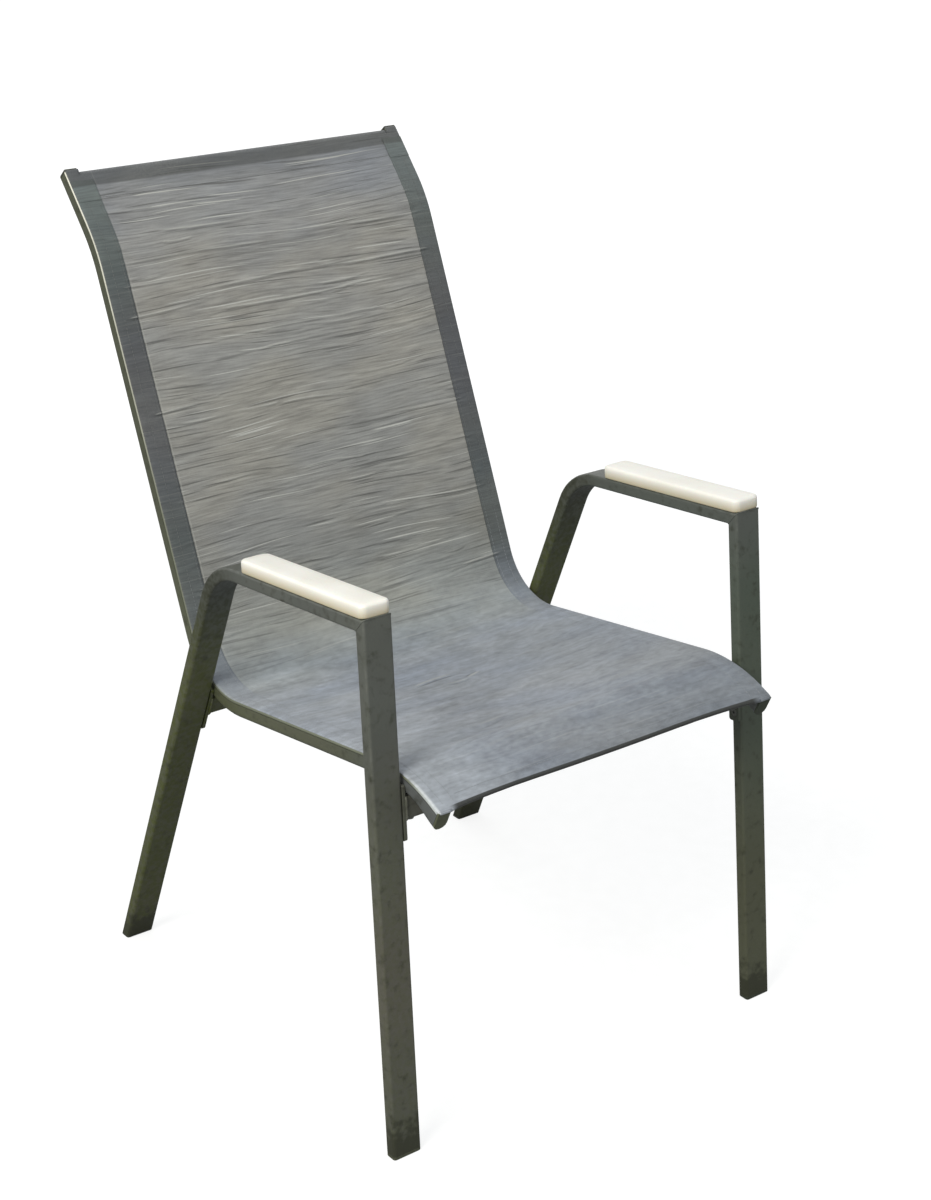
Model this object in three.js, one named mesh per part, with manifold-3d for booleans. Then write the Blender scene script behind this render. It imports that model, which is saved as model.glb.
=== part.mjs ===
// A stacking patio chair: two side frames of flat tube, two cross tubes, and a sling of woven
// mesh stretched between two bent rails. Millimetres, Z up, the sitter faces -Y.
// The side plane is written as (y, z). Its y is zero at the face of the front feet while the
// pieces are made, and the finished chair is then moved so that the origin is under its middle.
import * as THREE from "three";
import { mergeVertices } from "three/addons/utils/BufferGeometryUtils.js";
import Module from "manifold-3d";

const wasm = await Module();
wasm.setup();

// Clearance between pieces that touch, and the overrun of a cut past a face
const seatGap = 0.3;
const overrun = 1;

// Side frames: flat tube with its wide face to the front
const tubeWidth = 38;
const tubeDepth = 16;
const tubeWall = 1.5;
const tubeEdge = 3.5;
const footHalfWidth = 295;
const armHalfWidth = 288;
const armHeight = 641;
const footprint = 618;
const armBend = 83;
const frontLean = THREE.MathUtils.degToRad(5.65);
const rearLean = THREE.MathUtils.degToRad(22.1);

// Glides plugged into the tube ends
const glideHeight = 4;
const glideChamfer = 0.8;
const plugLength = 18;

// Arm pads
const padLength = 241;
const padWidth = 40;
const padHeight = 16;
const padCorner = 8;
const padEdge = 5;
const padScrewInset = 45;
const padScrewBite = 9;

// Sling rails: corners of the upper face in the side plane, and the bends between them
const noseEnd = new THREE.Vector2(-16, 434);
const frontCorner = new THREE.Vector2(48, 462);
const seatCorner = new THREE.Vector2(454, 405);
const shoulderCorner = new THREE.Vector2(671, 911);
const headEnd = new THREE.Vector2(742, 991);
const frontBend = 190;
const seatBend = 86;
const shoulderBend = 190;
const railWidth = 17;
const railDepth = 22;
const railBack = 7.5;
const railEdge = 1.2;
const railWall = 1.8;
const railClearance = 0.8;
const capThickness = 2.5;
const capPlug = 5;

// Welt: a light bead along the edge of the mesh, in a half-round groove of the rail
const weltRadius = 2.5;
const weltInset = 2;

// Sling
const meshThickness = 1.5;
const meshEdge = 0.4;
const meshNoseInset = 3;
const meshHeadInset = 2;

// Spreader tube in the top hem
const spreaderRadius = 8;
const spreaderWall = 1.5;
const spreaderPlug = 15;
const spigotRadius = 3;
const spigotLength = 3.5;

// Cross tubes, and the plates that fasten them to the legs
const crossHeight = 27;
const crossDepth = 16;
const crossWall = 1.5;
const crossEdge = 3;
const plateThickness = 4;
const plateWidth = 16;
const plateAbove = 28;
const plateBelow = 38;
const plateCorner = 3;
const upperBolt = 21.5;
const lowerBolt = 27;

// Bolts, nuts and pad screws
const boltRadius = 2.5;
const boltHead = 5;
const boltHeadDepth = 2.5;
const boltRim = 0.5;
const boltTip = 1.5;
const buttonHead = 4.5;
const buttonHeight = 2.8;
const socketRadius = 1.6;
const socketDepth = 1.5;
const nutAcross = 8;
const nutHeight = 4;
const nutEdge = 0.5;
const screwRadius = 2;
const screwHead = 4;
const screwHeadHeight = 2.4;

// Facets: steps along a quarter circle, and the turn of a bend covered by one step
const cornerSteps = 3;
const roundSteps = 12;
const weltSteps = 4;
const bendStep = THREE.MathUtils.degToRad(6);
const trials = 2000;

const quarter = Math.PI / 2;
const frameLean = (footHalfWidth - armHalfWidth) / armHeight;

const aluminium = finish("aluminium_coated", 0x53524e, 0.45, 0.35);
const plastic = finish("plastic_dark", 0x2c2c2a, 0.6, 0);
const ivory = finish("plastic_ivory", 0xf3efdf, 0.5, 0);
const mesh = finish("mesh_fabric", 0x8b8a83, 0.8, 0);
const welt = finish("welt_light", 0xc9c9b8, 0.5, 0);
const steel = finish("steel", 0x8c8f92, 0.35, 0.9);

function finish(name, color, roughness, metalness) {
  return new THREE.MeshStandardMaterial({ name, color, roughness, metalness });
}

// Points of an arc in a section, both ends included.
function arc(x, y, radius, from, to, steps = cornerSteps) {
  return Array.from({ length: steps + 1 }, (_, i) => {
    const angle = from + ((to - from) * i) / steps;
    return new THREE.Vector2(x + radius * Math.cos(angle), y + radius * Math.sin(angle));
  });
}

// A rectangle with round corners, counterclockwise, the radii at its low and high sides apart.
function roundedBox(left, right, low, high, lowRadius, highRadius = lowRadius) {
  return [
    ...arc(right - lowRadius, low + lowRadius, lowRadius, -quarter, 0),
    ...arc(right - highRadius, high - highRadius, highRadius, 0, quarter),
    ...arc(left + highRadius, high - highRadius, highRadius, quarter, 2 * quarter),
    ...arc(left + lowRadius, low + lowRadius, lowRadius, 2 * quarter, 3 * quarter),
  ];
}

function circle(x, y, radius, steps = roundSteps) {
  return arc(x, y, radius, 0, 4 * quarter, steps).slice(1);
}

// A closed solid through a row of sections. Each section is a list of loops, the outline first
// and holes after it, and place puts a point of section j in space.
function loft(sections, place) {
  const wound = sections.map((loops) =>
    loops.map((loop, k) => (THREE.ShapeUtils.isClockWise(loop) === k > 0 ? loop : [...loop].reverse())),
  );
  const points = wound.flatMap((loops, j) => loops.flat().map((p) => place(p, j)));
  const size = wound[0].flat().length;
  const index = [];
  let first = 0;
  for (const loop of wound[0]) {
    for (let j = 0; j < wound.length - 1; j++) {
      loop.forEach((_, i) => {
        const a = j * size + first + i;
        const b = j * size + first + ((i + 1) % loop.length);
        index.push(a, b, b + size, a, b + size, a + size);
      });
    }
    first += loop.length;
  }
  const last = (wound.length - 1) * size;
  for (const [a, b, c] of capFaces(wound[0])) index.push(c, b, a);
  for (const [a, b, c] of capFaces(wound.at(-1))) index.push(last + a, last + b, last + c);
  const geometry = new THREE.BufferGeometry().setFromPoints(points);
  geometry.setIndex(index);
  return geometry;
}

function capFaces([outline, ...holes]) {
  return THREE.ShapeUtils.triangulateShape(outline, holes);
}

// The same section all along a run in the side plane: x across, the section's y through the depth.
function sweep(loops, run) {
  return loft(
    run.map(() => loops),
    (p, j) => new THREE.Vector3(p.x, run[j].y + run[j].across.x * p.y, run[j].z + run[j].across.y * p.y),
  );
}

// A straight prism along X of loops drawn in the side plane.
function prism(loops, from, to) {
  const ends = [from, to];
  return loft([loops, loops], (p, j) => new THREE.Vector3(ends[j], p.x, p.y));
}

// Directions in the side plane: the heading of a line, and the way through the depth beside it.
const direction = (from, to) => to.clone().sub(from).normalize();
const depthward = (heading) => new THREE.Vector2(heading.y, -heading.x);

function station(point, across, length) {
  return { y: point.x, z: point.y, across, length };
}

// Stations along the upper face of a bent bar: straight between its corners, an arc in each bend.
function bentRun(corners, bends) {
  const run = [station(corners[0], depthward(direction(corners[0], corners[1])), 0)];
  for (let i = 1; i < corners.length - 1; i++) {
    const into = direction(corners[i - 1], corners[i]);
    const out = direction(corners[i], corners[i + 1]);
    const turn = Math.atan2(into.cross(out), into.dot(out));
    const radius = bends[i - 1];
    const start = corners[i].clone().addScaledVector(into, -radius * Math.tan(Math.abs(turn) / 2));
    const centre = start.clone().addScaledVector(depthward(into), -Math.sign(turn) * radius);
    const steps = Math.ceil(Math.abs(turn) / bendStep);
    for (let k = 0; k <= steps; k++) {
      const point = start.clone().rotateAround(centre, (turn * k) / steps);
      const across = depthward(into).rotateAround(new THREE.Vector2(), (turn * k) / steps);
      run.push(station(point, across, lengthTo(run, point)));
    }
  }
  const end = corners.at(-1);
  run.push(station(end, run.at(-1).across.clone(), lengthTo(run, end)));
  return run;
}

function lengthTo(run, point) {
  const last = run.at(-1);
  return last.length + Math.hypot(point.x - last.y, point.y - last.z);
}

// The part of a run between two lengths along it, both of which lie on its straight ends.
function portion(run, from, to) {
  const inside = run.filter((s) => s.length > from && s.length < to);
  return [stationAt(run, from), ...inside, stationAt(run, to)];
}

function stationAt(run, length) {
  const next = Math.max(1, run.findIndex((s) => s.length >= length));
  const [a, b] = [run[next - 1], run[next]];
  const share = (length - a.length) / (b.length - a.length);
  const point = new THREE.Vector2(a.y, a.z).lerp(new THREE.Vector2(b.y, b.z), share);
  return station(point, share > 0.5 ? b.across : a.across, length);
}

const offset = (s, depth) => new THREE.Vector2(s.y + s.across.x * depth, s.z + s.across.y * depth);

// Joining and cutting closed solids
function solid(geometry) {
  const bare = geometry.clone();
  bare.deleteAttribute("normal");
  bare.deleteAttribute("uv");
  const merged = mergeVertices(bare);
  const vertProperties = merged.attributes.position.array;
  return new wasm.Manifold(
    new wasm.Mesh({ numProp: 3, vertProperties, triVerts: new Uint32Array(merged.index.array) }),
  );
}

function surface(body) {
  const { vertProperties, triVerts } = body.getMesh();
  const geometry = new THREE.BufferGeometry();
  geometry.setAttribute("position", new THREE.BufferAttribute(vertProperties, 3));
  geometry.setIndex(new THREE.BufferAttribute(triVerts, 1));
  return geometry;
}

function drilled(geometry, cutters) {
  return surface(cutters.reduce((body, cutter) => body.subtract(solid(cutter)), solid(geometry)));
}

function joined(a, b) {
  return surface(solid(a).add(solid(b)));
}

// A turned piece: profile points are (radius, distance along the axis), from the axis to the axis.
function turned(profile, origin, axis) {
  const geometry = new THREE.LatheGeometry(
    profile.map(([radius, along]) => new THREE.Vector2(radius, along)),
    roundSteps,
  );
  geometry.applyQuaternion(new THREE.Quaternion().setFromUnitVectors(new THREE.Vector3(0, 1, 0), axis));
  return geometry.translate(origin.x, origin.y, origin.z);
}

const inSpace = (x, point) => new THREE.Vector3(x, point.x, point.y);
const axisOf = (heading) => new THREE.Vector3(0, heading.x, heading.y);
const outward = new THREE.Vector3(1, 0, 0);

// The side frames lean in towards the arms: a piece made at the foot's width is shifted with height.
function leaned(geometry) {
  const position = geometry.attributes.position;
  for (let i = 0; i < position.count; i++) {
    position.setX(i, position.getX(i) - Math.sign(position.getX(i)) * frameLean * position.getZ(i));
  }
  return geometry;
}

// Side plane of a frame: foot to arm, arm to foot
const frontUp = new THREE.Vector2(Math.sin(frontLean), Math.cos(frontLean));
const armBack = depthward(frontUp);
const rearDown = new THREE.Vector2(Math.sin(rearLean), -Math.cos(rearLean));
const frontFace = (z) => z * Math.tan(frontLean);
const rearFace = (z) => footprint - z * Math.tan(rearLean);
const armCorner = new THREE.Vector2(frontFace(armHeight), armHeight);
const bendCorner = crossing(armCorner, armBack, new THREE.Vector2(footprint, 0), rearDown);
const frontMiddle = (z) => new THREE.Vector2(frontFace(z) + tubeDepth / 2 / Math.cos(frontLean), z);
const rearMiddle = (z) => new THREE.Vector2(rearFace(z) - tubeDepth / 2 / Math.cos(rearLean), z);
const legOuter = footHalfWidth;
const legInner = footHalfWidth - tubeWidth;
const legCentre = footHalfWidth - tubeWidth / 2;

// Where the line through a along u meets the line through b along v.
function crossing(a, u, b, v) {
  const t = b.clone().sub(a).cross(v) / u.cross(v);
  return a.clone().addScaledVector(u, t);
}

function tubeLoops() {
  const outer = roundedBox(legInner, legOuter, 0, tubeDepth, tubeEdge);
  const bore = roundedBox(
    legInner + tubeWall,
    legOuter - tubeWall,
    tubeWall,
    tubeDepth - tubeWall,
    tubeEdge - tubeWall,
  );
  return [outer, bore];
}

// Level cuts of the legs at height z: the depth is measured along the floor there.
function frontLevel(z) {
  return station(new THREE.Vector2(frontFace(z), z), new THREE.Vector2(1 / Math.cos(frontLean), 0), z);
}

function rearLevel(z) {
  return station(new THREE.Vector2(rearFace(z), z), new THREE.Vector2(-1 / Math.cos(rearLean), 0), z);
}

// The mitre at the front of the arm, with half the weld gap on each tube
function mitre(heading, way) {
  const across = depthward(frontUp).add(depthward(armBack));
  return station(armCorner.clone().addScaledVector(heading, way * seatGap), across, 0);
}

function frontLegTube() {
  const run = [frontLevel(glideHeight + seatGap), mitre(frontUp, -1)];
  return leaned(drilled(sweep(tubeLoops(), run), plateBoltHoles(frontBar, frontUp)));
}

function armAndRearLegTube() {
  const foot = new THREE.Vector2(footprint, 0);
  const run = bentRun([armCorner, bendCorner, foot], [armBend]);
  run[0] = mitre(armBack, 1);
  run[run.length - 1] = rearLevel(glideHeight + seatGap);
  const cutters = [...plateBoltHoles(rearBar, rearUp), ...padScrewPlaces().map(padScrewCutter)];
  return leaned(drilled(sweep(tubeLoops(), run), cutters));
}

// A glide: a foot plate as wide as the tube, and a plug that fits its bore.
function glide(level, towardsFoot) {
  const fit = tubeWall + seatGap;
  const plan = (inset, radius) => [
    roundedBox(legInner + inset, legOuter - inset, inset, tubeDepth - inset, radius),
  ];
  const layers = [
    [0, plan(glideChamfer, tubeEdge - glideChamfer)],
    [glideChamfer, plan(0, tubeEdge)],
    [glideHeight, plan(0, tubeEdge)],
    [glideHeight, plan(fit, tubeEdge - fit)],
    [glideHeight + plugLength, plan(fit, tubeEdge - fit)],
  ];
  if (towardsFoot) layers.reverse();
  const stations = layers.map(([z]) => level(z));
  return leaned(
    loft(
      layers.map(([, loops]) => loops),
      (p, j) => new THREE.Vector3(p.x, stations[j].y + stations[j].across.x * p.y, stations[j].z),
    ),
  );
}

// Arm pad: a slab whose upper edges and corners are rounded, seated on the arm.
const padSeat = armCorner.clone().addScaledVector(frontUp, seatGap);

function armPad() {
  const half = padWidth / 2;
  const rounding = arc(0, 0, padEdge, 0, quarter).map((p) => [
    padHeight - padEdge + p.y,
    padEdge - p.x,
  ]);
  const layers = [[0, 0], ...rounding];
  const sections = layers.map(([, inset]) => {
    const wide = half - inset;
    return [roundedBox(legCentre - wide, legCentre + wide, inset, padLength - inset, padCorner - inset)];
  });
  const place = (p, j) => {
    const point = padSeat.clone().addScaledVector(armBack, p.y).addScaledVector(frontUp, layers[j][0]);
    return inSpace(p.x, point);
  };
  const cutters = padScrewPlaces().map(padScrewCutter);
  return leaned(drilled(loft(sections, place), cutters));
}

function padScrewPlaces() {
  const underside = tubeDepth + seatGap;
  return [padScrewInset, padLength - padScrewInset].map((along) =>
    armCorner.clone().addScaledVector(armBack, along).addScaledVector(frontUp, -underside),
  );
}

const padScrewLength = tubeDepth + padScrewBite;

function padScrewProfile(clearance) {
  return [
    [0, -screwHeadHeight - clearance],
    [screwHead + clearance, -screwHeadHeight - clearance],
    [screwHead + clearance, 0],
    [screwRadius + clearance, 0],
    [screwRadius + clearance, padScrewLength + clearance],
    [0, padScrewLength + clearance],
  ];
}

function padScrew(place) {
  return leaned(turned(padScrewProfile(0), inSpace(legCentre, place), axisOf(frontUp)));
}

function padScrewCutter(place) {
  return turned(padScrewProfile(seatGap), inSpace(legCentre, place), axisOf(frontUp));
}

// Sling rails
const railRun = bentRun(
  [noseEnd, frontCorner, seatCorner, shoulderCorner, headEnd],
  [frontBend, seatBend, shoulderBend],
);
const railLength = railRun.at(-1).length;

// Distance from a point of the side plane to the underside of the rails
function railDistance(point) {
  const under = railRun.map((s) => offset(s, railDepth));
  return Math.min(...under.slice(1).map((end, i) => distanceToSegment(point, under[i], end)));
}

function distanceToSegment(point, a, b) {
  const along = b.clone().sub(a);
  const share = THREE.MathUtils.clamp(point.clone().sub(a).dot(along) / along.lengthSq(), 0, 1);
  return a.clone().addScaledVector(along, share).distanceTo(point);
}

// A cross tube is as high on its leg's middle line as the rails above it allow.
const rearUp = rearDown.clone().negate();
const frontBar = underRails(frontMiddle, frontUp);
const rearBar = underRails(rearMiddle, rearUp);

function underRails(middle, up) {
  const back = depthward(up);
  const top = [-1, -0.5, 0, 0.5, 1].map((share) => (share * crossDepth) / 2);
  for (let i = 1; i <= trials; i++) {
    const place = middle((armHeight * i) / trials);
    const near = top.some((shift) => {
      const point = place.clone().addScaledVector(back, shift).addScaledVector(up, crossHeight / 2);
      return railDistance(point) < armHeight / trials + seatGap;
    });
    if (near) return place;
  }
  return middle(armHeight);
}

// The rails stand inside the plates, clear of the end that leans furthest in
const plateInner = legInner - seatGap - plateThickness;
const plateEnds = [frontBar, rearBar].flatMap((bar) => [bar.y + plateAbove, bar.y - plateBelow]);
const plateLean = Math.max(...plateEnds.map((z) => frameLean * z));
const railOuter = plateInner - plateLean - railClearance;
const railInner = railOuter - railWidth;
const railCentre = railOuter - railWidth / 2;

function railLoops() {
  const groove = weltRadius + seatGap;
  const half = Math.asin(weltInset / groove);
  const outer = [
    ...arc(railOuter - weltInset, weltInset, groove, 2 * quarter + half, quarter - half, weltSteps),
    ...arc(railOuter - railBack, railDepth - railBack, railBack, 0, quarter),
    ...arc(railInner + railBack, railDepth - railBack, railBack, quarter, 2 * quarter),
    ...arc(railInner + railEdge, railEdge, railEdge, 2 * quarter, 3 * quarter, 1),
  ];
  return [outer, railBore(0)];
}

// The hollow of a rail, or what fits in it with a clearance
function railBore(clearance) {
  const inset = railWall + clearance;
  const web = weltInset + weltRadius + inset;
  const [left, right] = [railInner + inset, railOuter - inset];
  return roundedBox(left, right, web, railDepth - inset, railEdge, railBack - inset);
}

function slingRail() {
  const run = portion(railRun, capThickness + seatGap, railLength - capThickness - seatGap);
  const cutters = [railBoltCutter(frontBolt), railBoltCutter(rearBolt), spigotCutter()];
  return drilled(sweep(railLoops(), run), cutters);
}

function railCap(from, to, plugFrom, plugTo) {
  const plate = roundedBox(railInner, railOuter, 0, railDepth, railEdge, railBack);
  const head = sweep([plate], portion(railRun, from, to));
  const plug = sweep([railBore(seatGap)], portion(railRun, plugFrom, plugTo));
  return joined(head, plug);
}

function noseCap() {
  return railCap(0, capThickness, capThickness / 2, capThickness + capPlug);
}

function headCap() {
  const start = railLength - capThickness;
  return railCap(start, railLength, start - capPlug, railLength - capThickness / 2);
}

function weltBead() {
  const run = portion(railRun, capThickness + seatGap, railLength - capThickness - seatGap);
  return sweep([circle(railOuter - weltInset, weltInset, weltRadius, 2 * weltSteps)], run);
}

// Spreader tube: its front lies on the mesh, and spigots hold it between the rails
const hemRadius = spreaderRadius + seatGap + meshThickness;
const spreaderStation = stationAt(railRun, railLength - meshHeadInset - hemRadius);
const spreaderMiddle = offset(spreaderStation, spreaderRadius);
const spreaderEnd = railInner - seatGap;

function spreaderTube() {
  const { x, y } = spreaderMiddle;
  const loops = [circle(x, y, spreaderRadius), circle(x, y, spreaderRadius - spreaderWall)];
  return prism(loops, -spreaderEnd, spreaderEnd);
}

function spreaderSpigot() {
  const fit = spreaderRadius - spreaderWall - seatGap;
  const profile = [
    [0, -spreaderPlug],
    [fit, -spreaderPlug],
    [fit, -seatGap],
    [spigotRadius, -seatGap],
    [spigotRadius, spigotLength],
    [0, spigotLength],
  ];
  return turned(profile, inSpace(spreaderEnd, spreaderMiddle), outward);
}

function spigotCutter() {
  const profile = [
    [0, -overrun],
    [spigotRadius + seatGap, -overrun],
    [spigotRadius + seatGap, spigotLength + seatGap],
    [0, spigotLength + seatGap],
  ];
  return turned(profile, inSpace(spreaderEnd, spreaderMiddle), outward);
}

// Sling: a sheet over the rails from nose to head, with a sleeve at the top round the spreader
// and a tab on either side of it that runs on up the rail
function slingMesh() {
  const edge = railOuter - weltInset - weltRadius - seatGap;
  const back = -seatGap;
  const front = back - meshThickness;
  const strip = (left, right, from, to) =>
    sweep([roundedBox(left, right, front, back, meshEdge)], portion(railRun, from, to));
  const middle = spreaderStation.length;
  const top = railLength - meshHeadInset;
  const { x, y } = spreaderMiddle;
  const steps = 2 * roundSteps;
  const rings = [circle(x, y, hemRadius, steps), circle(x, y, hemRadius - meshThickness, steps)];
  return [
    prism(rings, -spreaderEnd, spreaderEnd),
    strip(spreaderEnd, edge, middle - hemRadius, top),
    strip(-edge, -spreaderEnd, middle - hemRadius, top),
  ].reduce(joined, strip(-edge, edge, meshNoseInset, middle));
}

// Cross tubes: upright flat tube whose long way follows the legs
function crossTube(middle, up, bolts) {
  const back = depthward(up);
  const place = (p) => middle.clone().addScaledVector(back, p.x).addScaledVector(up, p.y);
  const section = (inset) => {
    const wide = crossDepth / 2 - inset;
    const high = crossHeight / 2 - inset;
    return roundedBox(-wide, wide, -high, high, crossEdge - inset).map(place);
  };
  const reach = plateInner - seatGap;
  const tube = leaned(prism([section(0), section(crossWall)], -reach, reach));
  return drilled(tube, bolts);
}

// End plates: flat bars against the inner faces of the legs
function endPlate(middle, up) {
  const back = depthward(up);
  const outline = roundedBox(-plateWidth / 2, plateWidth / 2, -plateBelow, plateAbove, plateCorner);
  const loop = outline.map((p) => middle.clone().addScaledVector(back, p.x).addScaledVector(up, p.y));
  const plate = prism([loop], plateInner, plateInner + plateThickness);
  return leaned(drilled(plate, plateBoltHoles(middle, up)));
}

function plateBoltPlaces(middle, up) {
  return [upperBolt, -lowerBolt].map((along) => middle.clone().addScaledVector(up, along));
}

// The socket for the key in a bolt's head, whose face is at this distance along the axis
function socket(face) {
  return [
    [0, face + socketDepth],
    [socketRadius, face + socketDepth],
    [socketRadius, face],
  ];
}

// Countersunk bolts from the inner face of a plate into a nut behind the leg's wall
const plateBoltLength = plateThickness + seatGap + tubeWall + seatGap + nutHeight + boltTip;

function plateBolt(place) {
  const profile = [
    ...socket(0),
    [boltHead, 0],
    [boltHead, boltRim],
    [boltRadius, boltHeadDepth],
    [boltRadius, plateBoltLength],
    [0, plateBoltLength],
  ];
  return leaned(turned(profile, inSpace(plateInner, place), outward));
}

function plateBoltHoles(middle, up) {
  const hole = boltRadius + seatGap;
  const sink = boltHead + seatGap;
  const profile = [
    [0, -overrun],
    [sink, -overrun],
    [sink, boltRim],
    [hole, boltHeadDepth],
    [hole, plateBoltLength + seatGap],
    [0, plateBoltLength + seatGap],
  ];
  return plateBoltPlaces(middle, up).map((place) => turned(profile, inSpace(plateInner, place), outward));
}

// Square nuts held behind the walls, with the hole for the bolt
function nutLoops() {
  const half = nutAcross / 2;
  return [roundedBox(-half, half, -half, half, nutEdge), circle(0, 0, boltRadius + seatGap)];
}

function legNut(place, up) {
  const start = legInner + tubeWall + seatGap;
  const back = depthward(up);
  const loops = nutLoops().map((loop) =>
    loop.map((p) => place.clone().addScaledVector(back, p.x).addScaledVector(up, p.y)),
  );
  return leaned(prism(loops, start, start + nutHeight));
}

// How far a square nut stands above the bottom of the rail's rounded hollow
const boreRound = railBack - railWall;
const boreFlat = railWidth / 2 - railWall - boreRound;
const nutSeat = boreRound - Math.sqrt(boreRound ** 2 - (nutAcross / 2 - boreFlat) ** 2) + seatGap;

// Bolts up through the cross tubes into the rails: the nut clears the slope of the rail's hollow
function railBoltPlace(middle, up) {
  const back = depthward(up);
  const foot = middle.clone().addScaledVector(up, -crossHeight / 2);
  const floor = railDepth - railWall - nutSeat;
  const edges = [-nutAcross / 2, nutAcross / 2].map((shift) => foot.clone().addScaledVector(back, shift));
  const nutStart = Math.max(...edges.map((edge) => riseToRail(edge, up, floor)));
  return { foot, up, nutStart, length: nutStart + nutHeight + boltTip };
}

// How far a line rises from a point to a depth inside the rail
function riseToRail(point, up, depth) {
  const rises = railRun.slice(1).map((s, i) => {
    const a = offset(railRun[i], depth);
    const b = offset(s, depth);
    const hit = crossing(point, up, a, direction(a, b));
    return distanceToSegment(hit, a, b) < seatGap ? hit.sub(point).dot(up) : Infinity;
  });
  return Math.min(...rises.filter((rise) => rise > 0));
}

const frontBolt = railBoltPlace(frontBar, frontUp);
const rearBolt = railBoltPlace(rearBar, rearUp);

// A button-headed bolt: the head under the cross tube, its shank up into the rail
function railBolt({ foot, up, length }) {
  const profile = [
    ...socket(-buttonHeight),
    [buttonHead - boltRim, -buttonHeight],
    [buttonHead, boltRim - buttonHeight],
    [buttonHead, -seatGap],
    [boltRadius, -seatGap],
    [boltRadius, length],
    [0, length],
  ];
  return turned(profile, inSpace(railCentre, foot), axisOf(up));
}

function railBoltCutter({ foot, up, length }, side = 1) {
  const hole = boltRadius + seatGap;
  const profile = [
    [0, -overrun],
    [hole, -overrun],
    [hole, length + seatGap],
    [0, length + seatGap],
  ];
  return turned(profile, inSpace(side * railCentre, foot), axisOf(up));
}

function railNut({ foot, up, nutStart }) {
  const heights = [nutStart, nutStart + nutHeight];
  const back = depthward(up);
  const loops = nutLoops();
  return loft([loops, loops], (p, j) => {
    const point = foot.clone().addScaledVector(back, p.y).addScaledVector(up, heights[j]);
    return inSpace(railCentre + p.x, point);
  });
}

// Assembly: the right half, as seen from the front, is made once and mirrored for the left
function piece(parent, name, geometry, material) {
  const shaped = geometry.clone();
  shaped.computeVertexNormals();
  const item = new THREE.Mesh(shaped, material);
  item.name = name;
  parent.add(item);
}

function halfPieces() {
  const pieces = [
    ["front_leg_tube", frontLegTube(), aluminium],
    ["arm_rear_leg_tube", armAndRearLegTube(), aluminium],
    ["front_glide", glide(frontLevel, false), plastic],
    ["rear_glide", glide(rearLevel, true), plastic],
    ["arm_pad", armPad(), ivory],
    ["sling_rail", slingRail(), aluminium],
    ["rail_nose_cap", noseCap(), plastic],
    ["rail_head_cap", headCap(), plastic],
    ["sling_welt", weltBead(), welt],
    ["spreader_spigot", spreaderSpigot(), plastic],
    ["front_end_plate", endPlate(frontBar, frontUp), aluminium],
    ["rear_end_plate", endPlate(rearBar, rearUp), aluminium],
    ["front_rail_bolt", railBolt(frontBolt), steel],
    ["rear_rail_bolt", railBolt(rearBolt), steel],
    ["front_rail_nut", railNut(frontBolt), steel],
    ["rear_rail_nut", railNut(rearBolt), steel],
  ];
  padScrewPlaces().forEach((place, i) => {
    pieces.push([["front", "rear"][i] + "_pad_screw", padScrew(place), steel]);
  });
  for (const [leg, middle, up] of [["front", frontBar, frontUp], ["rear", rearBar, rearUp]]) {
    plateBoltPlaces(middle, up).forEach((place, i) => {
      const level = ["upper", "lower"][i];
      pieces.push([leg + "_plate_bolt_" + level, plateBolt(place), steel]);
      pieces.push([leg + "_leg_nut_" + level, legNut(place, up), steel]);
    });
  }
  return pieces;
}

const frame = new THREE.Group();
const pieces = halfPieces();
for (const [side, sign] of [["left", -1], ["right", 1]]) {
  const half = new THREE.Group();
  half.scale.x = sign;
  for (const [name, geometry, material] of pieces) piece(half, side + "_" + name, geometry, material);
  frame.add(half);
}
const barBolts = (bolt) => [-1, 1].map((side) => railBoltCutter(bolt, side));
piece(frame, "front_cross_tube", crossTube(frontBar, frontUp, barBolts(frontBolt)), aluminium);
piece(frame, "rear_cross_tube", crossTube(rearBar, rearUp, barBolts(rearBolt)), aluminium);
piece(frame, "head_spreader_tube", spreaderTube(), aluminium);
piece(frame, "sling_mesh", slingMesh(), mesh);

// The origin is on the floor under the middle of the chair's depth
const extent = new THREE.Box3().setFromObject(frame);
frame.position.y = -(extent.min.y + extent.max.y) / 2;

const chair = new THREE.Group();
chair.add(frame);
export default chair;
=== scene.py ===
# %% [markdown]
# # A sling patio chair
#
# The chair is a stacking armchair for the patio: two side frames of flat aluminium tube, two
# bent rails between them, and one piece of woven mesh stretched over the rails. This script
# dresses the measured model, which gives every piece its place, with finer pieces and with
# materials. It works in metres, Z up, and the sitter looks towards -Y. "Left" is as seen from
# the front, so it is the side of -X.

# %% Load the measured model
import math

import bmesh
import bpy
import numpy as np
from mathutils import Matrix, Vector
from mathutils.geometry import convex_hull_2d


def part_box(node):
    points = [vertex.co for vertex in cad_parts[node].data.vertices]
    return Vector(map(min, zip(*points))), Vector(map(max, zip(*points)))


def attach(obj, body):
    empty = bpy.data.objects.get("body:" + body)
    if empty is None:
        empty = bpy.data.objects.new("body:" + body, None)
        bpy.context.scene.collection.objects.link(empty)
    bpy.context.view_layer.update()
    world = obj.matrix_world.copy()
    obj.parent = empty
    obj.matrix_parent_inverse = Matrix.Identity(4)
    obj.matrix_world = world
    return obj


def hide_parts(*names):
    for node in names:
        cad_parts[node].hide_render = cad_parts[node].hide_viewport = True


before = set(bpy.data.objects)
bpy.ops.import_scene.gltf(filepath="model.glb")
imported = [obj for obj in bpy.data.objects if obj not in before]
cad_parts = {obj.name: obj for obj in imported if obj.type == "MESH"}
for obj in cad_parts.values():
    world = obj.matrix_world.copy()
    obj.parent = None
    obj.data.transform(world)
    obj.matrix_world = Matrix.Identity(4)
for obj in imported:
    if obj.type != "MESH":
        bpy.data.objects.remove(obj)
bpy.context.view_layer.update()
mm = 0.001

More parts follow.
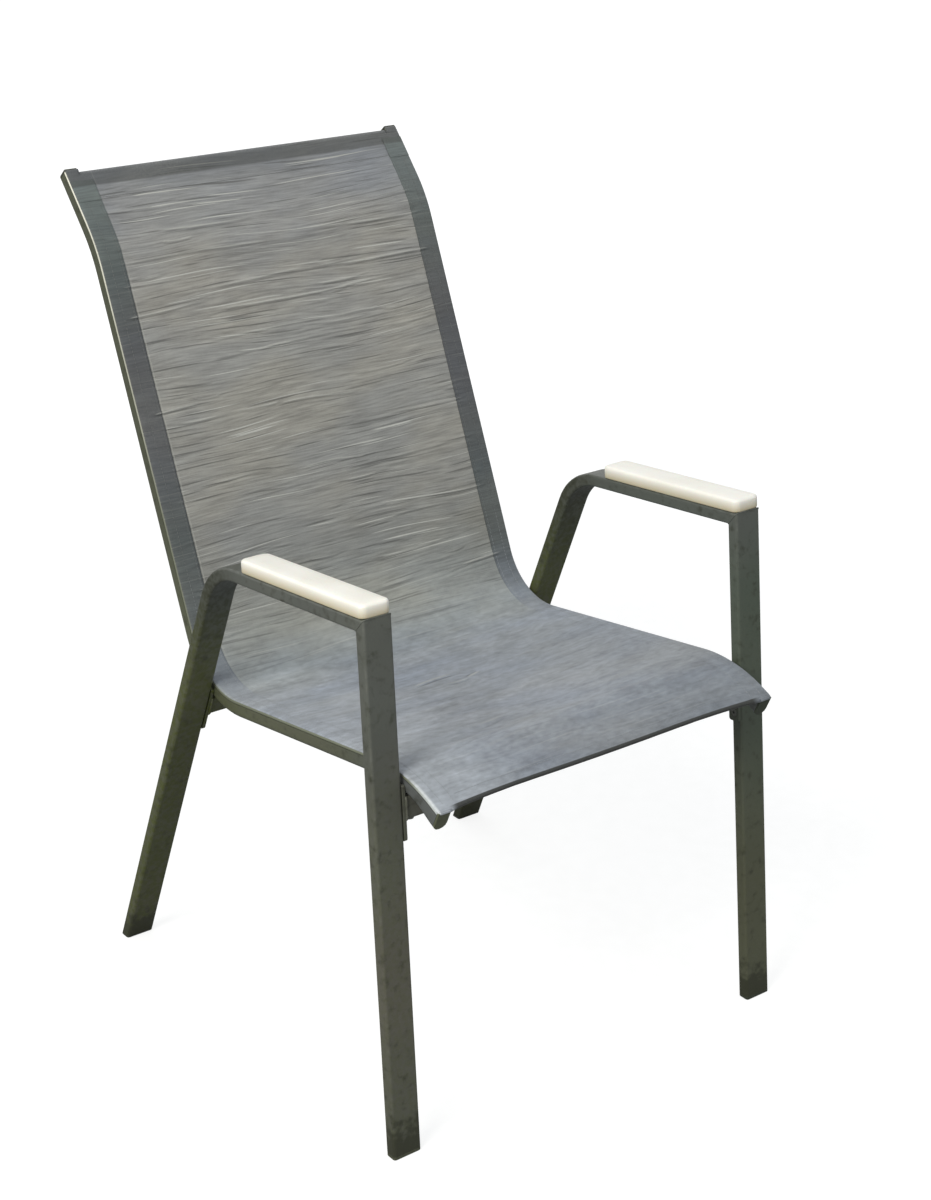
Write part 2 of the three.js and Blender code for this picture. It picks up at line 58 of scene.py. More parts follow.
# %% [markdown]
# ## The camera
#
# The photograph was taken from the front left, a little above the seat. A camera is set by the
# point that it looks at, its distance from there, two angles and a slight roll. Those values
# were found by laying the chair's edges over the picture. A long lens keeps the legs almost
# parallel, as they are in the picture.

# %% Camera
look_at = Vector((0.02243, -0.08290, 0.51182))
distance = 2.74401
azimuth, elevation, roll = (math.radians(a) for a in (-37.8545, 22.7124, 0.5661))

towards = Vector((
    math.sin(azimuth) * math.cos(elevation),
    -math.cos(azimuth) * math.cos(elevation),
    math.sin(elevation),
))
level = Vector((0, 0, 1)).cross(towards).normalized()
upright = towards.cross(level)
rolled = (
    level * math.cos(roll) + upright * math.sin(roll),
    upright * math.cos(roll) - level * math.sin(roll),
    towards,
)
lens = bpy.data.cameras.new("photo camera")
lens.lens = 67.80
lens.sensor_width = 36
camera = bpy.data.objects.new("photo_camera", lens)
camera.matrix_world = Matrix.Translation(look_at + towards * distance) @ Matrix(rolled).transposed().to_4x4()
bpy.context.scene.collection.objects.link(camera)
bpy.context.scene.camera = camera
print("camera at", [round(c, 3) for c in camera.location])


# %% [markdown]
# ## Short words for shader nodes
#
# A material is a small net of nodes. A few helpers keep the net readable: `add` places a node
# and connects or sets its inputs, `calc` is one sum, `times` a product, `mixed` blends two
# colours, and `ramp` and `grain` make masks from a place. A colour is written as the 0 to 255
# values of a paint chart and turned into the linear light that the shader works with.

# %% Node helpers
def paint(red, green, blue):
    """A colour of a paint chart, 0 to 255, as linear light."""
    chart = (channel / 255 for channel in (red, green, blue))
    return (*(c / 12.92 if c <= 0.04045 else ((c + 0.055) / 1.055) ** 2.4 for c in chart), 1)


def connect(tree, value, socket):
    """Links another node's output to a socket, or sets the socket to a plain value."""
    if isinstance(value, bpy.types.NodeSocket):
        tree.links.new(value, socket)
    else:
        socket.default_value = value


def add(tree, kind, inputs=None, **settings):
    """Adds a shader node with its settings, and connects or sets the inputs that are named."""
    made = tree.nodes.new("ShaderNode" + kind)
    for name, value in settings.items():
        setattr(made, name, value)
    for name, value in (inputs or {}).items():
        connect(tree, value, made.inputs[name])
    return made


def calc(tree, operation, *values):
    """One sum: the operation's name as in the Math node, and its numbers or sockets."""
    made = add(tree, "Math", operation=operation)
    for value, socket in zip(values, made.inputs):
        connect(tree, value, socket)
    return made.outputs[0]


def times(tree, product, *factors):
    """All the values multiplied with each other."""
    for factor in factors:
        product = calc(tree, "MULTIPLY", product, factor)
    return product


def mixed(tree, share, first, second, how="MIX"):
    """Two colours blended, with share of the second."""
    made = add(tree, "Mix", data_type="RGBA", blend_type=how)
    for value, index in ((share, 0), (first, 6), (second, 7)):
        connect(tree, value, made.inputs[index])
    return made.outputs[2]


def brightened(tree, colour, light):
    """A colour with all its channels times light."""
    grey = add(tree, "CombineXYZ", {0: light, 1: light, 2: light}).outputs[0]
    return mixed(tree, 1.0, colour, grey, "MULTIPLY")


def ramp(tree, value, low, high, start=0.0, end=1.0):
    """start below low, end above high, and a smooth change between them."""
    made = add(tree, "MapRange", interpolation_type="SMOOTHSTEP", inputs={
        "Value": value, "From Min": low, "From Max": high, "To Min": start, "To Max": end,
    })
    return made.outputs[0]


def object_place(tree):
    """The place on the piece, which is the place on the chair, in metres."""
    return add(tree, "TexCoord").outputs["Object"]


def axes_of(tree, vector):
    """The three numbers of a place or direction, under the names X, Y and Z."""
    return add(tree, "SeparateXYZ", {0: vector}).outputs


def grain(tree, place, scale, detail, stretch=(1, 1, 1)):
    """Cloudy noise with so many clouds to the metre, drawn out along the axes by stretch."""
    stretched = add(tree, "VectorMath", operation="MULTIPLY", inputs={0: place, 1: stretch})
    made = add(tree, "TexNoise", {"Vector": stretched.outputs[0], "Scale": scale, "Detail": detail})
    return made.outputs[0]


def new_group(name, inputs, outputs):
    """A node group: inputs are (name, kind, value), outputs (name, kind)."""
    tree = bpy.data.node_groups.new(name, "ShaderNodeTree")
    for label, kind, value in inputs:
        socket = tree.interface.new_socket(label, in_out="INPUT", socket_type="NodeSocket" + kind)
        socket.default_value = value
    for label, kind in outputs:
        tree.interface.new_socket(label, in_out="OUTPUT", socket_type="NodeSocket" + kind)
    start, end = tree.nodes.new("NodeGroupInput"), tree.nodes.new("NodeGroupOutput")
    print("shader group:", name)
    return tree, start.outputs, end.inputs


def use_group(tree, group, **values):
    """Places a group in a material and gives its inputs, spaces written as underscores."""
    made = tree.nodes.new("ShaderNodeGroup")
    made.node_tree = group
    for name, value in values.items():
        connect(tree, value, made.inputs[name.replace("_", " ")])
    return made.outputs


# %% [markdown]
# ## Light, floor and background
#
# A catalogue photograph is lit by one large soft lamp from the front left, weaker ones from the
# other side and from behind, and an even grey surround. Lamps stay at a plain level, so that a
# colour comes out about as it was written. The background is white only for the camera and for
# reflections: making it white with more light would wash out the chair.

# %% Surround and lamps
white = (1, 1, 1, 1)
world = bpy.data.worlds.new("studio")
bpy.context.scene.world = world
world.use_nodes = True
net = world.node_tree
net.nodes.clear()
path = add(net, "LightPath").outputs
seen = calc(net, "MAXIMUM", path["Is Camera Ray"], path["Is Glossy Ray"])
seen = calc(net, "MAXIMUM", seen, path["Is Transmission Ray"])
ambient = add(net, "Background", {"Color": paint(236, 240, 246), "Strength": 0.55})
backdrop = add(net, "Background", {"Color": white, "Strength": 1.0})
shown = add(net, "MixShader", {0: seen, 1: ambient.outputs[0], 2: backdrop.outputs[0]})
add(net, "OutputWorld", {"Surface": shown.outputs[0]})
bpy.context.scene.view_settings.view_transform = "Standard"


def soft_lamp(name, place, width, watts, tint):
    """A square lamp that faces the middle of the chair."""
    lamp = bpy.data.lights.new(name, "AREA")
    lamp.size, lamp.energy, lamp.color = width, watts, tint[:3]
    made = bpy.data.objects.new(name, lamp)
    made.location = place
    made.rotation_euler = (Vector((0, 0, 0.5)) - Vector(place)).to_track_quat("-Z", "Y").to_euler()
    bpy.context.scene.collection.objects.link(made)


soft_lamp("key_lamp", (-3.1, -1.2, 2.9), 1.6, 108, paint(255, 253, 248))
soft_lamp("fill_lamp", (1.4, -3.0, 3.0), 2.4, 13, paint(246, 249, 255))
soft_lamp("back_lamp", (0.8, 3.0, 2.8), 2.4, 16, paint(250, 252, 255))

# %% [markdown]
# The floor adds just enough of its own light, for the camera alone, to reach white, and still
# shows the soft shadow. The further it is from the chair, the more light it needs for that.

# %% Floor
floor_reach = 9
floor_mesh = bpy.data.meshes.new("floor")
floor_corners = [(x * floor_reach, y * floor_reach, 0) for x, y in ((-1, -1), (1, -1), (1, 1), (-1, 1))]
floor_mesh.from_pydata(floor_corners, [], [(0, 1, 2, 3)])
floor = bpy.data.objects.new("floor", floor_mesh)
floor.location.z = -0.2 * mm
bpy.context.scene.collection.objects.link(floor)

pale_floor = bpy.data.materials.new("pale floor")
pale_floor.use_nodes = True
net = pale_floor.node_tree
net.nodes.clear()
spot = object_place(net)
tone = mixed(net, ramp(net, grain(net, spot, 40, 3), 0.3, 0.7), paint(206, 207, 203), paint(214, 214, 211))
matt = add(net, "BsdfDiffuse", {"Color": tone})
far = add(net, "VectorMath", {0: spot}, operation="LENGTH").outputs["Value"]
for_camera = add(net, "LightPath").outputs["Is Camera Ray"]
strength = times(net, for_camera, ramp(net, far, 0.9, 3.5, 1.6, 1.9))
glow = add(net, "Emission", {"Color": white, "Strength": strength})
lifted = add(net, "MixShader", {0: 0.5, 1: matt.outputs[0], 2: glow.outputs[0]})
add(net, "OutputMaterial", {"Surface": lifted.outputs[0]})
floor_mesh.materials.append(pale_floor)

# %% [markdown]
# ## Effects that several finishes share
#
# Weather leaves the same marks on metal, plastic and mesh, so each effect is made once, as a
# shader group with its own sliders: patchy dust, dirt near the ground, wear where a tube turns
# a corner, and the fine grain of a coated or moulded surface. Dust lies in clouds with small
# speckles in them, and more of it stays on faces that look up.

# %% Dust group
dust_group, given, result = new_group(
    "patchy dust",
    [("Colour", "Color", white), ("Dust Colour", "Color", paint(150, 148, 130)),
     ("Amount", "Float", 0.3), ("Patches", "Float", 9.0)],
    [("Colour", "Color")],
)
net = dust_group
place = object_place(net)
patches = ramp(net, grain(net, place, given["Patches"], 4), 0.38, 0.68)
speckles = ramp(net, grain(net, place, 420.0, 2), 0.35, 0.75, 0.35, 1.0)
facing_up = ramp(net, axes_of(net, add(net, "NewGeometry").outputs["Normal"])["Z"], 0.1, 0.8, 0.7, 1.4)
mask = times(net, patches, speckles, facing_up, given["Amount"])
connect(net, mixed(net, mask, given["Colour"], given["Dust Colour"]), result["Colour"])

# %% [markdown]
# Rain splashes dirt up from the ground. The mask is 1 at the floor and falls to 0 at the height
# called `Reach`. Noise is added before it is cut off, so the dirt ends in a ragged edge, with
# a few spots above it.

# %% Ground dirt group
dirt_group, given, result = new_group(
    "ground dirt",
    [("Colour", "Color", white), ("Dirt Colour", "Color", paint(44, 46, 30)),
     ("Amount", "Float", 0.6), ("Reach", "Float", 0.2)],
    [("Colour", "Color")],
)
net = dirt_group
place = object_place(net)
share_of_reach = calc(net, "DIVIDE", axes_of(net, place)["Z"], given["Reach"])
low = calc(net, "MAXIMUM", calc(net, "SUBTRACT", 1.0, share_of_reach), 0.0)
splashes = calc(net, "SUBTRACT", grain(net, place, 95.0, 5), 0.5)
worn_in = ramp(net, calc(net, "MULTIPLY_ADD", low, 0.55, splashes), 0.0, 0.35)
mask = times(net, worn_in, given["Amount"])
connect(net, mixed(net, mask, given["Colour"], given["Dirt Colour"]), result["Colour"])

# %% [markdown]
# The coat of a tube wears first where the tube turns the corner between its side and its front.
# On a side face the surface normal points along X, on a front face it has no X at all, and only
# on the corner it is between the two. So the product of both shares is a mask of the corners.

# %% Corner wear group
wear_group, given, result = new_group("corner wear", [("Amount", "Float", 0.5)], [("Mask", "Float")])
net = wear_group
across = axes_of(net, add(net, "NewGeometry").outputs["Normal"])["X"]
square = times(net, across, across)
corner = times(net, square, calc(net, "SUBTRACT", 1.0, square))
rubbed = ramp(net, grain(net, object_place(net), 70.0, 5), 0.5, 0.72, 0.0, 4.0)
connect(net, times(net, corner, rubbed, given["Amount"]), result["Mask"])

# %% [markdown]
# No coated or moulded surface is quite even. Fine noise gives it its grain and its height, and
# slow clouds change its brightness and its roughness a little from place to place.

# %% Fine surface group
skin_group, given, result = new_group(
    "fine surface",
    [("Colour", "Color", white), ("Grains per Metre", "Float", 900.0),
     ("Variation", "Float", 0.08), ("Roughness", "Float", 0.5)],
    [("Colour", "Color"), ("Roughness", "Float"), ("Height", "Float")],
)
net = skin_group
place = object_place(net)
peel = grain(net, place, given["Grains per Metre"], 3)
cloud = grain(net, place, 14.0, 4)
centred = calc(net, "SUBTRACT", calc(net, "MULTIPLY_ADD", peel, 0.5, cloud), 0.75)
bright = calc(net, "MULTIPLY_ADD", centred, given["Variation"], 1.0)
connect(net, brightened(net, given["Colour"], bright), result["Colour"])
rough = calc(net, "MULTIPLY_ADD", calc(net, "SUBTRACT", cloud, 0.5), 0.25, given["Roughness"])
connect(net, rough, result["Roughness"])
connect(net, peel, result["Height"])


# %% [markdown]
# ## Hard finishes
#
# Each finish is a Principled shader fed by the groups, with its own values. The shader itself
# stays in the material. One helper makes an empty material, and another connects the colour,
# the roughness and a bump once the net is ready.

# %% Making a finish
def blank(name):
    """A new material's node tree."""
    made = bpy.data.materials.new(name)
    made.use_nodes = True
    return made.node_tree


def finished(name, colour, roughness, height, bump, metallic=0.0, **fixed):
    """A material whose shader takes a colour, a roughness and a height; bump is in millimetres."""
    made = bpy.data.materials[name]
    net = made.node_tree
    shader = net.nodes["Principled BSDF"]
    connect(net, colour, shader.inputs["Base Color"])
    connect(net, roughness, shader.inputs["Roughness"])
    connect(net, metallic, shader.inputs["Metallic"])
    raised = add(net, "Bump", {"Height": height, "Distance": bump * mm, "Strength": 1.0})
    connect(net, raised.outputs[0], shader.inputs["Normal"])
    for socket, value in fixed.items():
        shader.inputs[socket.replace("_", " ")].default_value = value
    print("finish:", name)
    return made


# %% [markdown]
# The frame is aluminium with a baked powder coat in anthracite: fairly matt, with a faint
# orange peel, dust on it, and bare metal showing at a few rubbed corners. Over the coat, light
# and shade are painted: the rear legs are painted dark as shade, all legs are painted greener low
# down as a reflection of the grass, and the right front leg is a darker green, painted shade.
# Each of these is a mask along the chair's own axes, broken up by noise.

# %% Powder coat
def coat_finish(name, cool, warm, rear_painted_share, low_grass_reflection, high_painted_shade, nose=0.0):
    """Powder coat that changes tone from place to place, under painted shade and a painted green reflection.
    """
    net = blank(name)
    spot = object_place(net)
    axes = axes_of(net, spot)
    warmer = times(net, ramp(net, grain(net, spot, 3.1, 2), 0.42, 0.6, 0.45, 1.0),
                   ramp(net, axes["Z"], 0.42, 0.53, 1.0, 0.15))
    coat = use_group(net, skin_group, Colour=mixed(net, warmer, cool, warm),
                     Grains_per_Metre=1100.0, Variation=0.22, Roughness=0.46)
    wear = use_group(net, wear_group, Amount=0.22)["Mask"]
    tone = mixed(net, wear, coat["Colour"], paint(150, 150, 142))
    # Painted shade on the rear legs, and a painted reflection of the grass low down on all legs.
    on_legs = times(net, ramp(net, axes["Y"], -0.30, 0.12, 0.42, 1.0),
                    ramp(net, axes["Z"], 0.30, 0.62, 1.0, 0.0))
    at_rear = ramp(net, axes["Y"], -0.075, 0.0, 0.0, rear_painted_share)
    patchy = ramp(net, grain(net, spot, 170.0, 7), 0.36, 0.62, 0.55, 1.0)
    shade_and_reflection_tone = mixed(net, ramp(net, axes["Z"], 0.42, 0.6), low_grass_reflection, high_painted_shade)
    tone = mixed(net, times(net, calc(net, "MAXIMUM", on_legs, at_rear), patchy), tone, shade_and_reflection_tone)
    # Painted shade: the right front leg darker and greener.
    right_leg_painted_shade = times(net, ramp(net, axes["X"], 0.2, 0.27, 0.0, 0.75),
                      ramp(net, axes["Z"], 0.52, 0.66, 1.0, 0.0),
                      ramp(net, axes["Y"], -0.12, -0.02, 1.0, 0.0))
    shaded_leg_tone = mixed(net, ramp(net, axes["Z"], 0.15, 0.4), paint(79, 82, 60), paint(70, 82, 68))
    tone = mixed(net, right_leg_painted_shade, tone, shaded_leg_tone)
    tone = mixed(net, ramp(net, axes["Y"], -0.33, -0.2, nose, 0.0), tone, paint(98, 101, 102))
    dusty = use_group(net, dust_group, Colour=tone, Dust_Colour=paint(112, 114, 94), Amount=0.22)
    dirty = use_group(net, dirt_group, Colour=dusty["Colour"], Amount=0.85, Reach=0.06)
    return finished(name, dirty["Colour"], coat["Roughness"], coat["Height"],
                    metallic=times(net, wear, 0.7), bump=0.06)


coated = coat_finish("coated aluminium", paint(85, 89, 83), paint(94, 90, 86),
                     0.97, paint(72, 78, 31), paint(44, 46, 33))
# The rails get their own copy of the coat, with lighter and more olive painted light and shade.
rail_coat = coat_finish("rail coat with painted light", paint(78, 82, 70), paint(86, 86, 74),
                        0.7, paint(92, 97, 68), paint(74, 76, 54), nose=0.85)

# %% [markdown]
# Caps and glides are dark moulded plastic. The left nose cap is painted lighter and olive, as
# painted light, and the right one a darker green, as painted shade. The arm pads are ivory
# plastic, painted near white on top as painted light, and darker and yellower down their sides
# towards the arm as painted shade; the height above the arm is kept in an attribute of the
# pad's own. A trace of light goes into the plastic, so it gets some subsurface. The fasteners
# are plated steel.

# %% Plastics and steel
net = blank("dark plastic")
axes = axes_of(net, object_place(net))
# Painted light and shade on the nose caps: lighter on the left, darker on the right.
lit_and_shaded_nose_tone = mixed(net, ramp(net, axes["X"], -0.2, 0.2), paint(86, 90, 69), paint(50, 58, 46))
tone = mixed(net, ramp(net, axes["Y"], -0.36, -0.33, 1.0, 0.0), paint(52, 53, 44), lit_and_shaded_nose_tone)
moulded = use_group(net, skin_group, Colour=tone, Grains_per_Metre=1800.0, Variation=0.4, Roughness=0.58)
dusty = use_group(net, dust_group, Colour=moulded["Colour"], Dust_Colour=paint(96, 98, 74), Amount=0.4)
dirty = use_group(net, dirt_group, Colour=dusty["Colour"], Amount=0.5, Reach=0.12)
dark_plastic = finished("dark plastic", dirty["Colour"], moulded["Roughness"], moulded["Height"], bump=0.09)

net = blank("ivory plastic")
rise = add(net, "Attribute", attribute_name="height_on_arm").outputs["Fac"]
# Painted shade low on the pad's sides, and painted light near white on its top.
tone = mixed(net, ramp(net, rise, 0.0, 15.5 * mm), paint(200, 189, 158), paint(254, 251, 240))
moulded = use_group(net, skin_group, Colour=tone, Grains_per_Metre=1500.0, Variation=0.05, Roughness=0.42)
aged = use_group(net, dust_group, Colour=moulded["Colour"], Dust_Colour=paint(222, 213, 188),
                 Amount=0.18, Patches=22.0)
ivory = finished("ivory plastic", aged["Colour"], moulded["Roughness"], moulded["Height"],
                 bump=0.05, Subsurface_Weight=0.06, Subsurface_Scale=0.004)

net = blank("plated steel")
plated = use_group(net, skin_group, Colour=paint(112, 114, 110), Grains_per_Metre=2600.0,
                   Variation=0.3, Roughness=0.34)
dusty = use_group(net, dust_group, Colour=plated["Colour"], Dust_Colour=paint(84, 74, 56), Amount=0.6)
steel = finished("plated steel", dusty["Colour"], plated["Roughness"], plated["Height"],
                 metallic=0.9, bump=0.03)

# %% [markdown]
# The welt is a plastic bead that was pushed into the rail's groove. Its colour follows the
# height: ivory near the head, a painted highlight along the rail's edge, going olive lower
# down, and at the noses it is painted pale again, another painted highlight. The thread is a
# grey twisted polyester, bleached on the seat like the cloth, and slanting waves are enough to
# show its ply.

# %% Welt and thread
net = blank("welt with painted highlight")
axes = axes_of(net, object_place(net))
# Painted highlight: ivory high up and pale at the noses, olive in between.
tone = mixed(net, ramp(net, axes["Z"], 0.55, 1.0), paint(118, 122, 104), paint(240, 238, 220))
tone = mixed(net, ramp(net, axes["Y"], -0.365, -0.325, 0.8, 0.0), tone, paint(214, 220, 220))
moulded = use_group(net, skin_group, Colour=tone, Grains_per_Metre=700.0, Variation=0.35, Roughness=0.5)
dusty = use_group(net, dust_group, Colour=moulded["Colour"], Dust_Colour=paint(112, 116, 92),
                  Amount=0.5, Patches=16.0)
welt_finish = finished("welt with painted highlight", dusty["Colour"], moulded["Roughness"], moulded["Height"], bump=0.1)

net = blank("grey thread")
place = object_place(net)
ply = add(net, "TexWave", {"Vector": place, "Scale": 520.0, "Distortion": 2.0}, bands_direction="DIAGONAL")
ply = ply.outputs["Fac"]
faded = mixed(net, ramp(net, axes_of(net, place)["Z"], 0.45, 0.56), paint(150, 154, 158), paint(92, 95, 93))
tone = mixed(net, times(net, ply, 0.35), faded, paint(160, 162, 160))
thread = finished("grey thread", tone, 0.7, ply, bump=0.1, Sheen_Weight=0.2)

# %% [markdown]
# ## The line of the rails
#
# Both rails are bent alike, so everything that follows them is laid out along one line in the
# side view: the upper face of the rail, from the nose in front of the seat to the head. It is
# five corners, joined by straights, with a round bend at each of the three inner ones. It is
# drawn out a little in front of the nose, because the cloth folds over there. Later pieces ask
# for a place so far across, so far along that line, and so far above the rail's face.

# %% Rail line
rail_corners = np.array([(-16, 434), (48, 462), (454, 405), (671, 911), (742, 991)]) * mm
rail_corners[:, 0] -= 371.22 * mm
rail_bends = [190 * mm, 86 * mm, 190 * mm]
bend_step = math.radians(1.5)
room_in_front = 20 * mm


def unit(vectors):
    """The same directions with the length one."""
    return vectors / np.linalg.norm(vectors, axis=-1, keepdims=True)


def way_along(points):
    """How far along a chain of points each of them lies."""
    return np.concatenate(([0], np.cumsum(np.linalg.norm(np.diff(points, axis=0), axis=1))))


def rail_line():
    """Rows of (length, y, z, depth direction y, depth direction z) along the rail's face."""
    deeper = lambda heading: np.array((heading[1], -heading[0]))
    first_heading = unit(rail_corners[1] - rail_corners[0])
    rows = [(rail_corners[0] - first_heading * room_in_front, deeper(first_heading)),
            (rail_corners[0], deeper(first_heading))]
    for before, corner, after, radius in zip(rail_corners, rail_corners[1:], rail_corners[2:], rail_bends):
        into, out = unit(corner - before), unit(after - corner)
        turn = math.atan2(into[0] * out[1] - into[1] * out[0], into @ out)
        start = corner - into * radius * math.tan(abs(turn) / 2)
        centre = start - deeper(into) * math.copysign(radius, turn)
        for angle in np.linspace(0, turn, math.ceil(abs(turn) / bend_step) + 1):
            spin = np.array(((math.cos(angle), -math.sin(angle)), (math.sin(angle), math.cos(angle))))
            rows.append((centre + spin @ (start - centre), spin @ deeper(into)))
    rows.append((rail_corners[-1], rows[-1][1]))
    points, depths = (np.array([row[k] for row in rows]) for k in (0, 1))
    return np.column_stack((way_along(points) - room_in_front, points, depths))


rail_rows = rail_line()
rail_length = rail_rows[-1, 0]
print("rail line:", round(rail_length, 4), "m long")


def rail_at(length):
    """The rail's line at some lengths: y, z, and the y and z of the direction into its depth."""
    return [np.interp(length, rail_rows[:, 0], rail_rows[:, k]) for k in (1, 2, 3, 4)]


def beside_rail(x, length, lift):
    """Points at so much across, along the rail's line, and above its upper face."""
    x, length, lift = np.broadcast_arrays(x, length, lift)
    y, z, deep_y, deep_z = rail_at(length)
    return np.stack((x, y - deep_y * lift, z - deep_z * lift), -1)


# %% [markdown]
# ## The woven mesh
#
# The sling is woven from plastic-coated yarn, one over and one under, about eight yarns to the
# centimetre, with a small hole at each crossing. The pattern follows the cloth and not the
# space around it, so every point of the cloth keeps its place in the flat piece, in metres, in
# an attribute called `cloth_place`: across, along, and the height of its creases. In each square
# of the weave one yarn lies on top: the parity of the square says which, and a sine gives the
# yarn its round back.

# %% Weave group
def cloth_place(net):
    """The place in the flat cloth: across, along, and the height of the creases."""
    return add(net, "Attribute", attribute_name="cloth_place").outputs["Vector"]


weave_group, given, result = new_group(
    "yarn over yarn",
    [("Yarn Colour", "Color", white), ("Hole Shade", "Color", paint(40, 42, 42)),
     ("Pitch", "Float", 1.25 * mm), ("Openness", "Float", 0.8)],
    [("Colour", "Color"), ("Height", "Float")],
)
net = weave_group
axes = axes_of(net, cloth_place(net))
steps = [calc(net, "DIVIDE", axes[axis], given["Pitch"]) for axis in ("X", "Y")]
backs = [calc(net, "ABSOLUTE", calc(net, "SINE", times(net, step, math.pi))) for step in steps]
odd = calc(net, "FLOORED_MODULO", calc(net, "ADD", *(calc(net, "FLOOR", step) for step in steps)), 2.0)
even = calc(net, "SUBTRACT", 1.0, odd)
over = [times(net, backs[i], calc(net, "MULTIPLY_ADD", backs[1 - i], 0.45, 0.55)) for i in (0, 1)]
lifted = calc(net, "ADD", times(net, over[1], odd), times(net, over[0], even))
# Painted shade: each yarn is darker where it dips under the crossing yarn.
yarn = brightened(net, given["Yarn Colour"], calc(net, "MULTIPLY_ADD", lifted, 0.28, 0.80))
# Painted shade: the holes are painted dark.
hole = ramp(net, calc(net, "MAXIMUM", *backs), 0.30, 0.62, 1.0, 0.0)
open_share = times(net, hole, given["Openness"])
connect(net, mixed(net, open_share, yarn, given["Hole Shade"]), result["Colour"])
connect(net, lifted, result["Height"])

# %% [markdown]
# Under tension the cross yarns don't all pull alike. Some are slack and catch the light, others
# lie deep and look dark, and both run across the chair in long thin lines that wander a little:
# the light ones are a painted highlight and the dark ones painted shade. The mask is noise drawn
# out along X, on a place that was first bent by a slower noise. The third number of
# `cloth_place` is the height of the cloth's own creases: their ridges get a painted highlight and
# their hollows painted shade. Between the lines the back is streaked finely, like brushed wood.
# The seat has been rubbed by sitting, so its mottle is cloudy instead, and `Back Share` goes from
# the one to the other.

# %% Pulled yarn group
pulled_group, given, result = new_group(
    "pulled yarns",
    [("Colour", "Color", white), ("Light Colour", "Color", paint(214, 214, 205)),
     ("Dark Colour", "Color", paint(58, 59, 56)), ("Amount", "Float", 1.0),
     ("Back Share", "Float", 1.0)],
    [("Colour", "Color"), ("Height", "Float")],
)


def both_ways(net, place, detail, stretch):
    """Noise that swings about zero, with so many clouds to the metre along each axis."""
    return calc(net, "SUBTRACT", grain(net, place, 1.0, detail, stretch), 0.5)


net = pulled_group
place = cloth_place(net)
wander = times(net, both_ways(net, place, 1, (3.4, 9, 1)), 0.026)
shift = add(net, "CombineXYZ", {1: wander}).outputs[0]
bent = add(net, "VectorMath", operation="ADD", inputs={0: place, 1: shift}).outputs[0]
slack = ramp(net, grain(net, bent, 1.0, 1, (5, 330, 1)), 0.66, 0.70)
deep = ramp(net, grain(net, bent, 1.0, 2, (7, 280, 7)), 0.59, 0.68)
relief = axes_of(net, place)["Z"]
# Painted highlight on the creases' ridges and painted shade in their hollows.
painted_ridge_highlight = ramp(net, relief, 0.3 * mm, 0.8 * mm, 0.0, 0.6)
painted_hollow_shade = ramp(net, relief, -0.8 * mm, -0.3 * mm, 0.7, 0.0)
light = calc(net, "MAXIMUM", times(net, slack, given["Amount"]), painted_ridge_highlight)
dark = calc(net, "MAXIMUM", times(net, deep, given["Amount"]), painted_hollow_shade)

streaks = times(net, both_ways(net, bent, 3, (26, 440, 1)), given["Back Share"])
mottle = calc(net, "MULTIPLY_ADD", both_ways(net, place, 3, (26, 40, 1)), 0.95,
              both_ways(net, place, 4, (90, 170, 1)))
mottle = times(net, mottle, calc(net, "MULTIPLY_ADD", given["Back Share"], -0.6, 0.7))
broad = calc(net, "MULTIPLY_ADD", both_ways(net, bent, 2, (8, 85, 5)), 0.55, 1.0)
bright = calc(net, "MULTIPLY_ADD", calc(net, "ADD", streaks, mottle), 1.15, broad)
tone = brightened(net, given["Colour"], bright)
tone = mixed(net, times(net, dark, 0.6), tone, given["Dark Colour"])
tone = mixed(net, times(net, light, 0.8), tone, given["Light Colour"])
connect(net, tone, result["Colour"])
connect(net, calc(net, "SUBTRACT", light, dark), result["Height"])

# %% [markdown]
# Sun and use have changed the cloth along its length: the seat is a bleached blue grey, the
# back a warm grey, and the top has kept more of its blue. Where the back rises from the seat the
# cloth is painted darker, as painted shade. Where two layers lie over each other, at the top seam,
# or the spreader tube lies behind, less light comes through and the mesh looks darker. The hems
# are the same cloth, doubled, so they get the same groups and a deeper colour.
# All of this is placed in the flat cloth: across from the middle, and along from the nose. A
# band that has no end on the cloth is written as ending past it.

# %% Cloth layout
half_width = 242.2 * mm
cloth_edge = 246.8 * mm
corner_radius = 4.5 * mm
hem_width = 26 * mm
hem_line = half_width - hem_width
front_edge = 3 * mm
spreader_at = rail_length - 11.8 * mm
seam_at = rail_length - 43 * mm
bend_at = 0.47
past_the_end = 1.3
print("hems from", round(hem_line, 4), "m across; seam at", round(seam_at, 4), "m along")


# %% [markdown]
# A mesh finish is built up in layers, from the yarn outwards: its colour along the cloth, what
# wear has done to it in clouds, painted light on the seat's front-left corner, a painted
# highlight on its outer edge, a darker right side of the seat, the pulled yarns, the bands and
# stripes, the weave with its holes, and dust over it all. Last comes the fold under the front
# edge, which lies in the dark between the rails and is nearly black.

# %% Cloth finishes
band_edge = 0.6 * mm


def along_cloth(net, along, stops):
    """A colour that changes along the cloth: stops are (metres from the nose, colour)."""
    whole = 1.2
    made = add(net, "ValToRGB", {"Fac": calc(net, "DIVIDE", along, whole)})
    scale = made.color_ramp.elements
    scale[0].position, scale[0].color = stops[0][0] / whole, stops[0][1]
    scale[1].position, scale[1].color = stops[-1][0] / whole, stops[-1][1]
    for metres, colour in stops[1:-1]:
        scale.new(metres / whole).color = colour
    return made.outputs["Color"]


def banded(net, tone, axis, start, end, darkness, colour, only=1.0, soft=band_edge):
    """The tone with a band of another colour between two places on the cloth."""
    inside = times(net, ramp(net, axis, start, start + soft),
                   ramp(net, axis, end - band_edge, end, 1.0, 0.0), darkness, only)
    return mixed(net, inside, tone, colour)


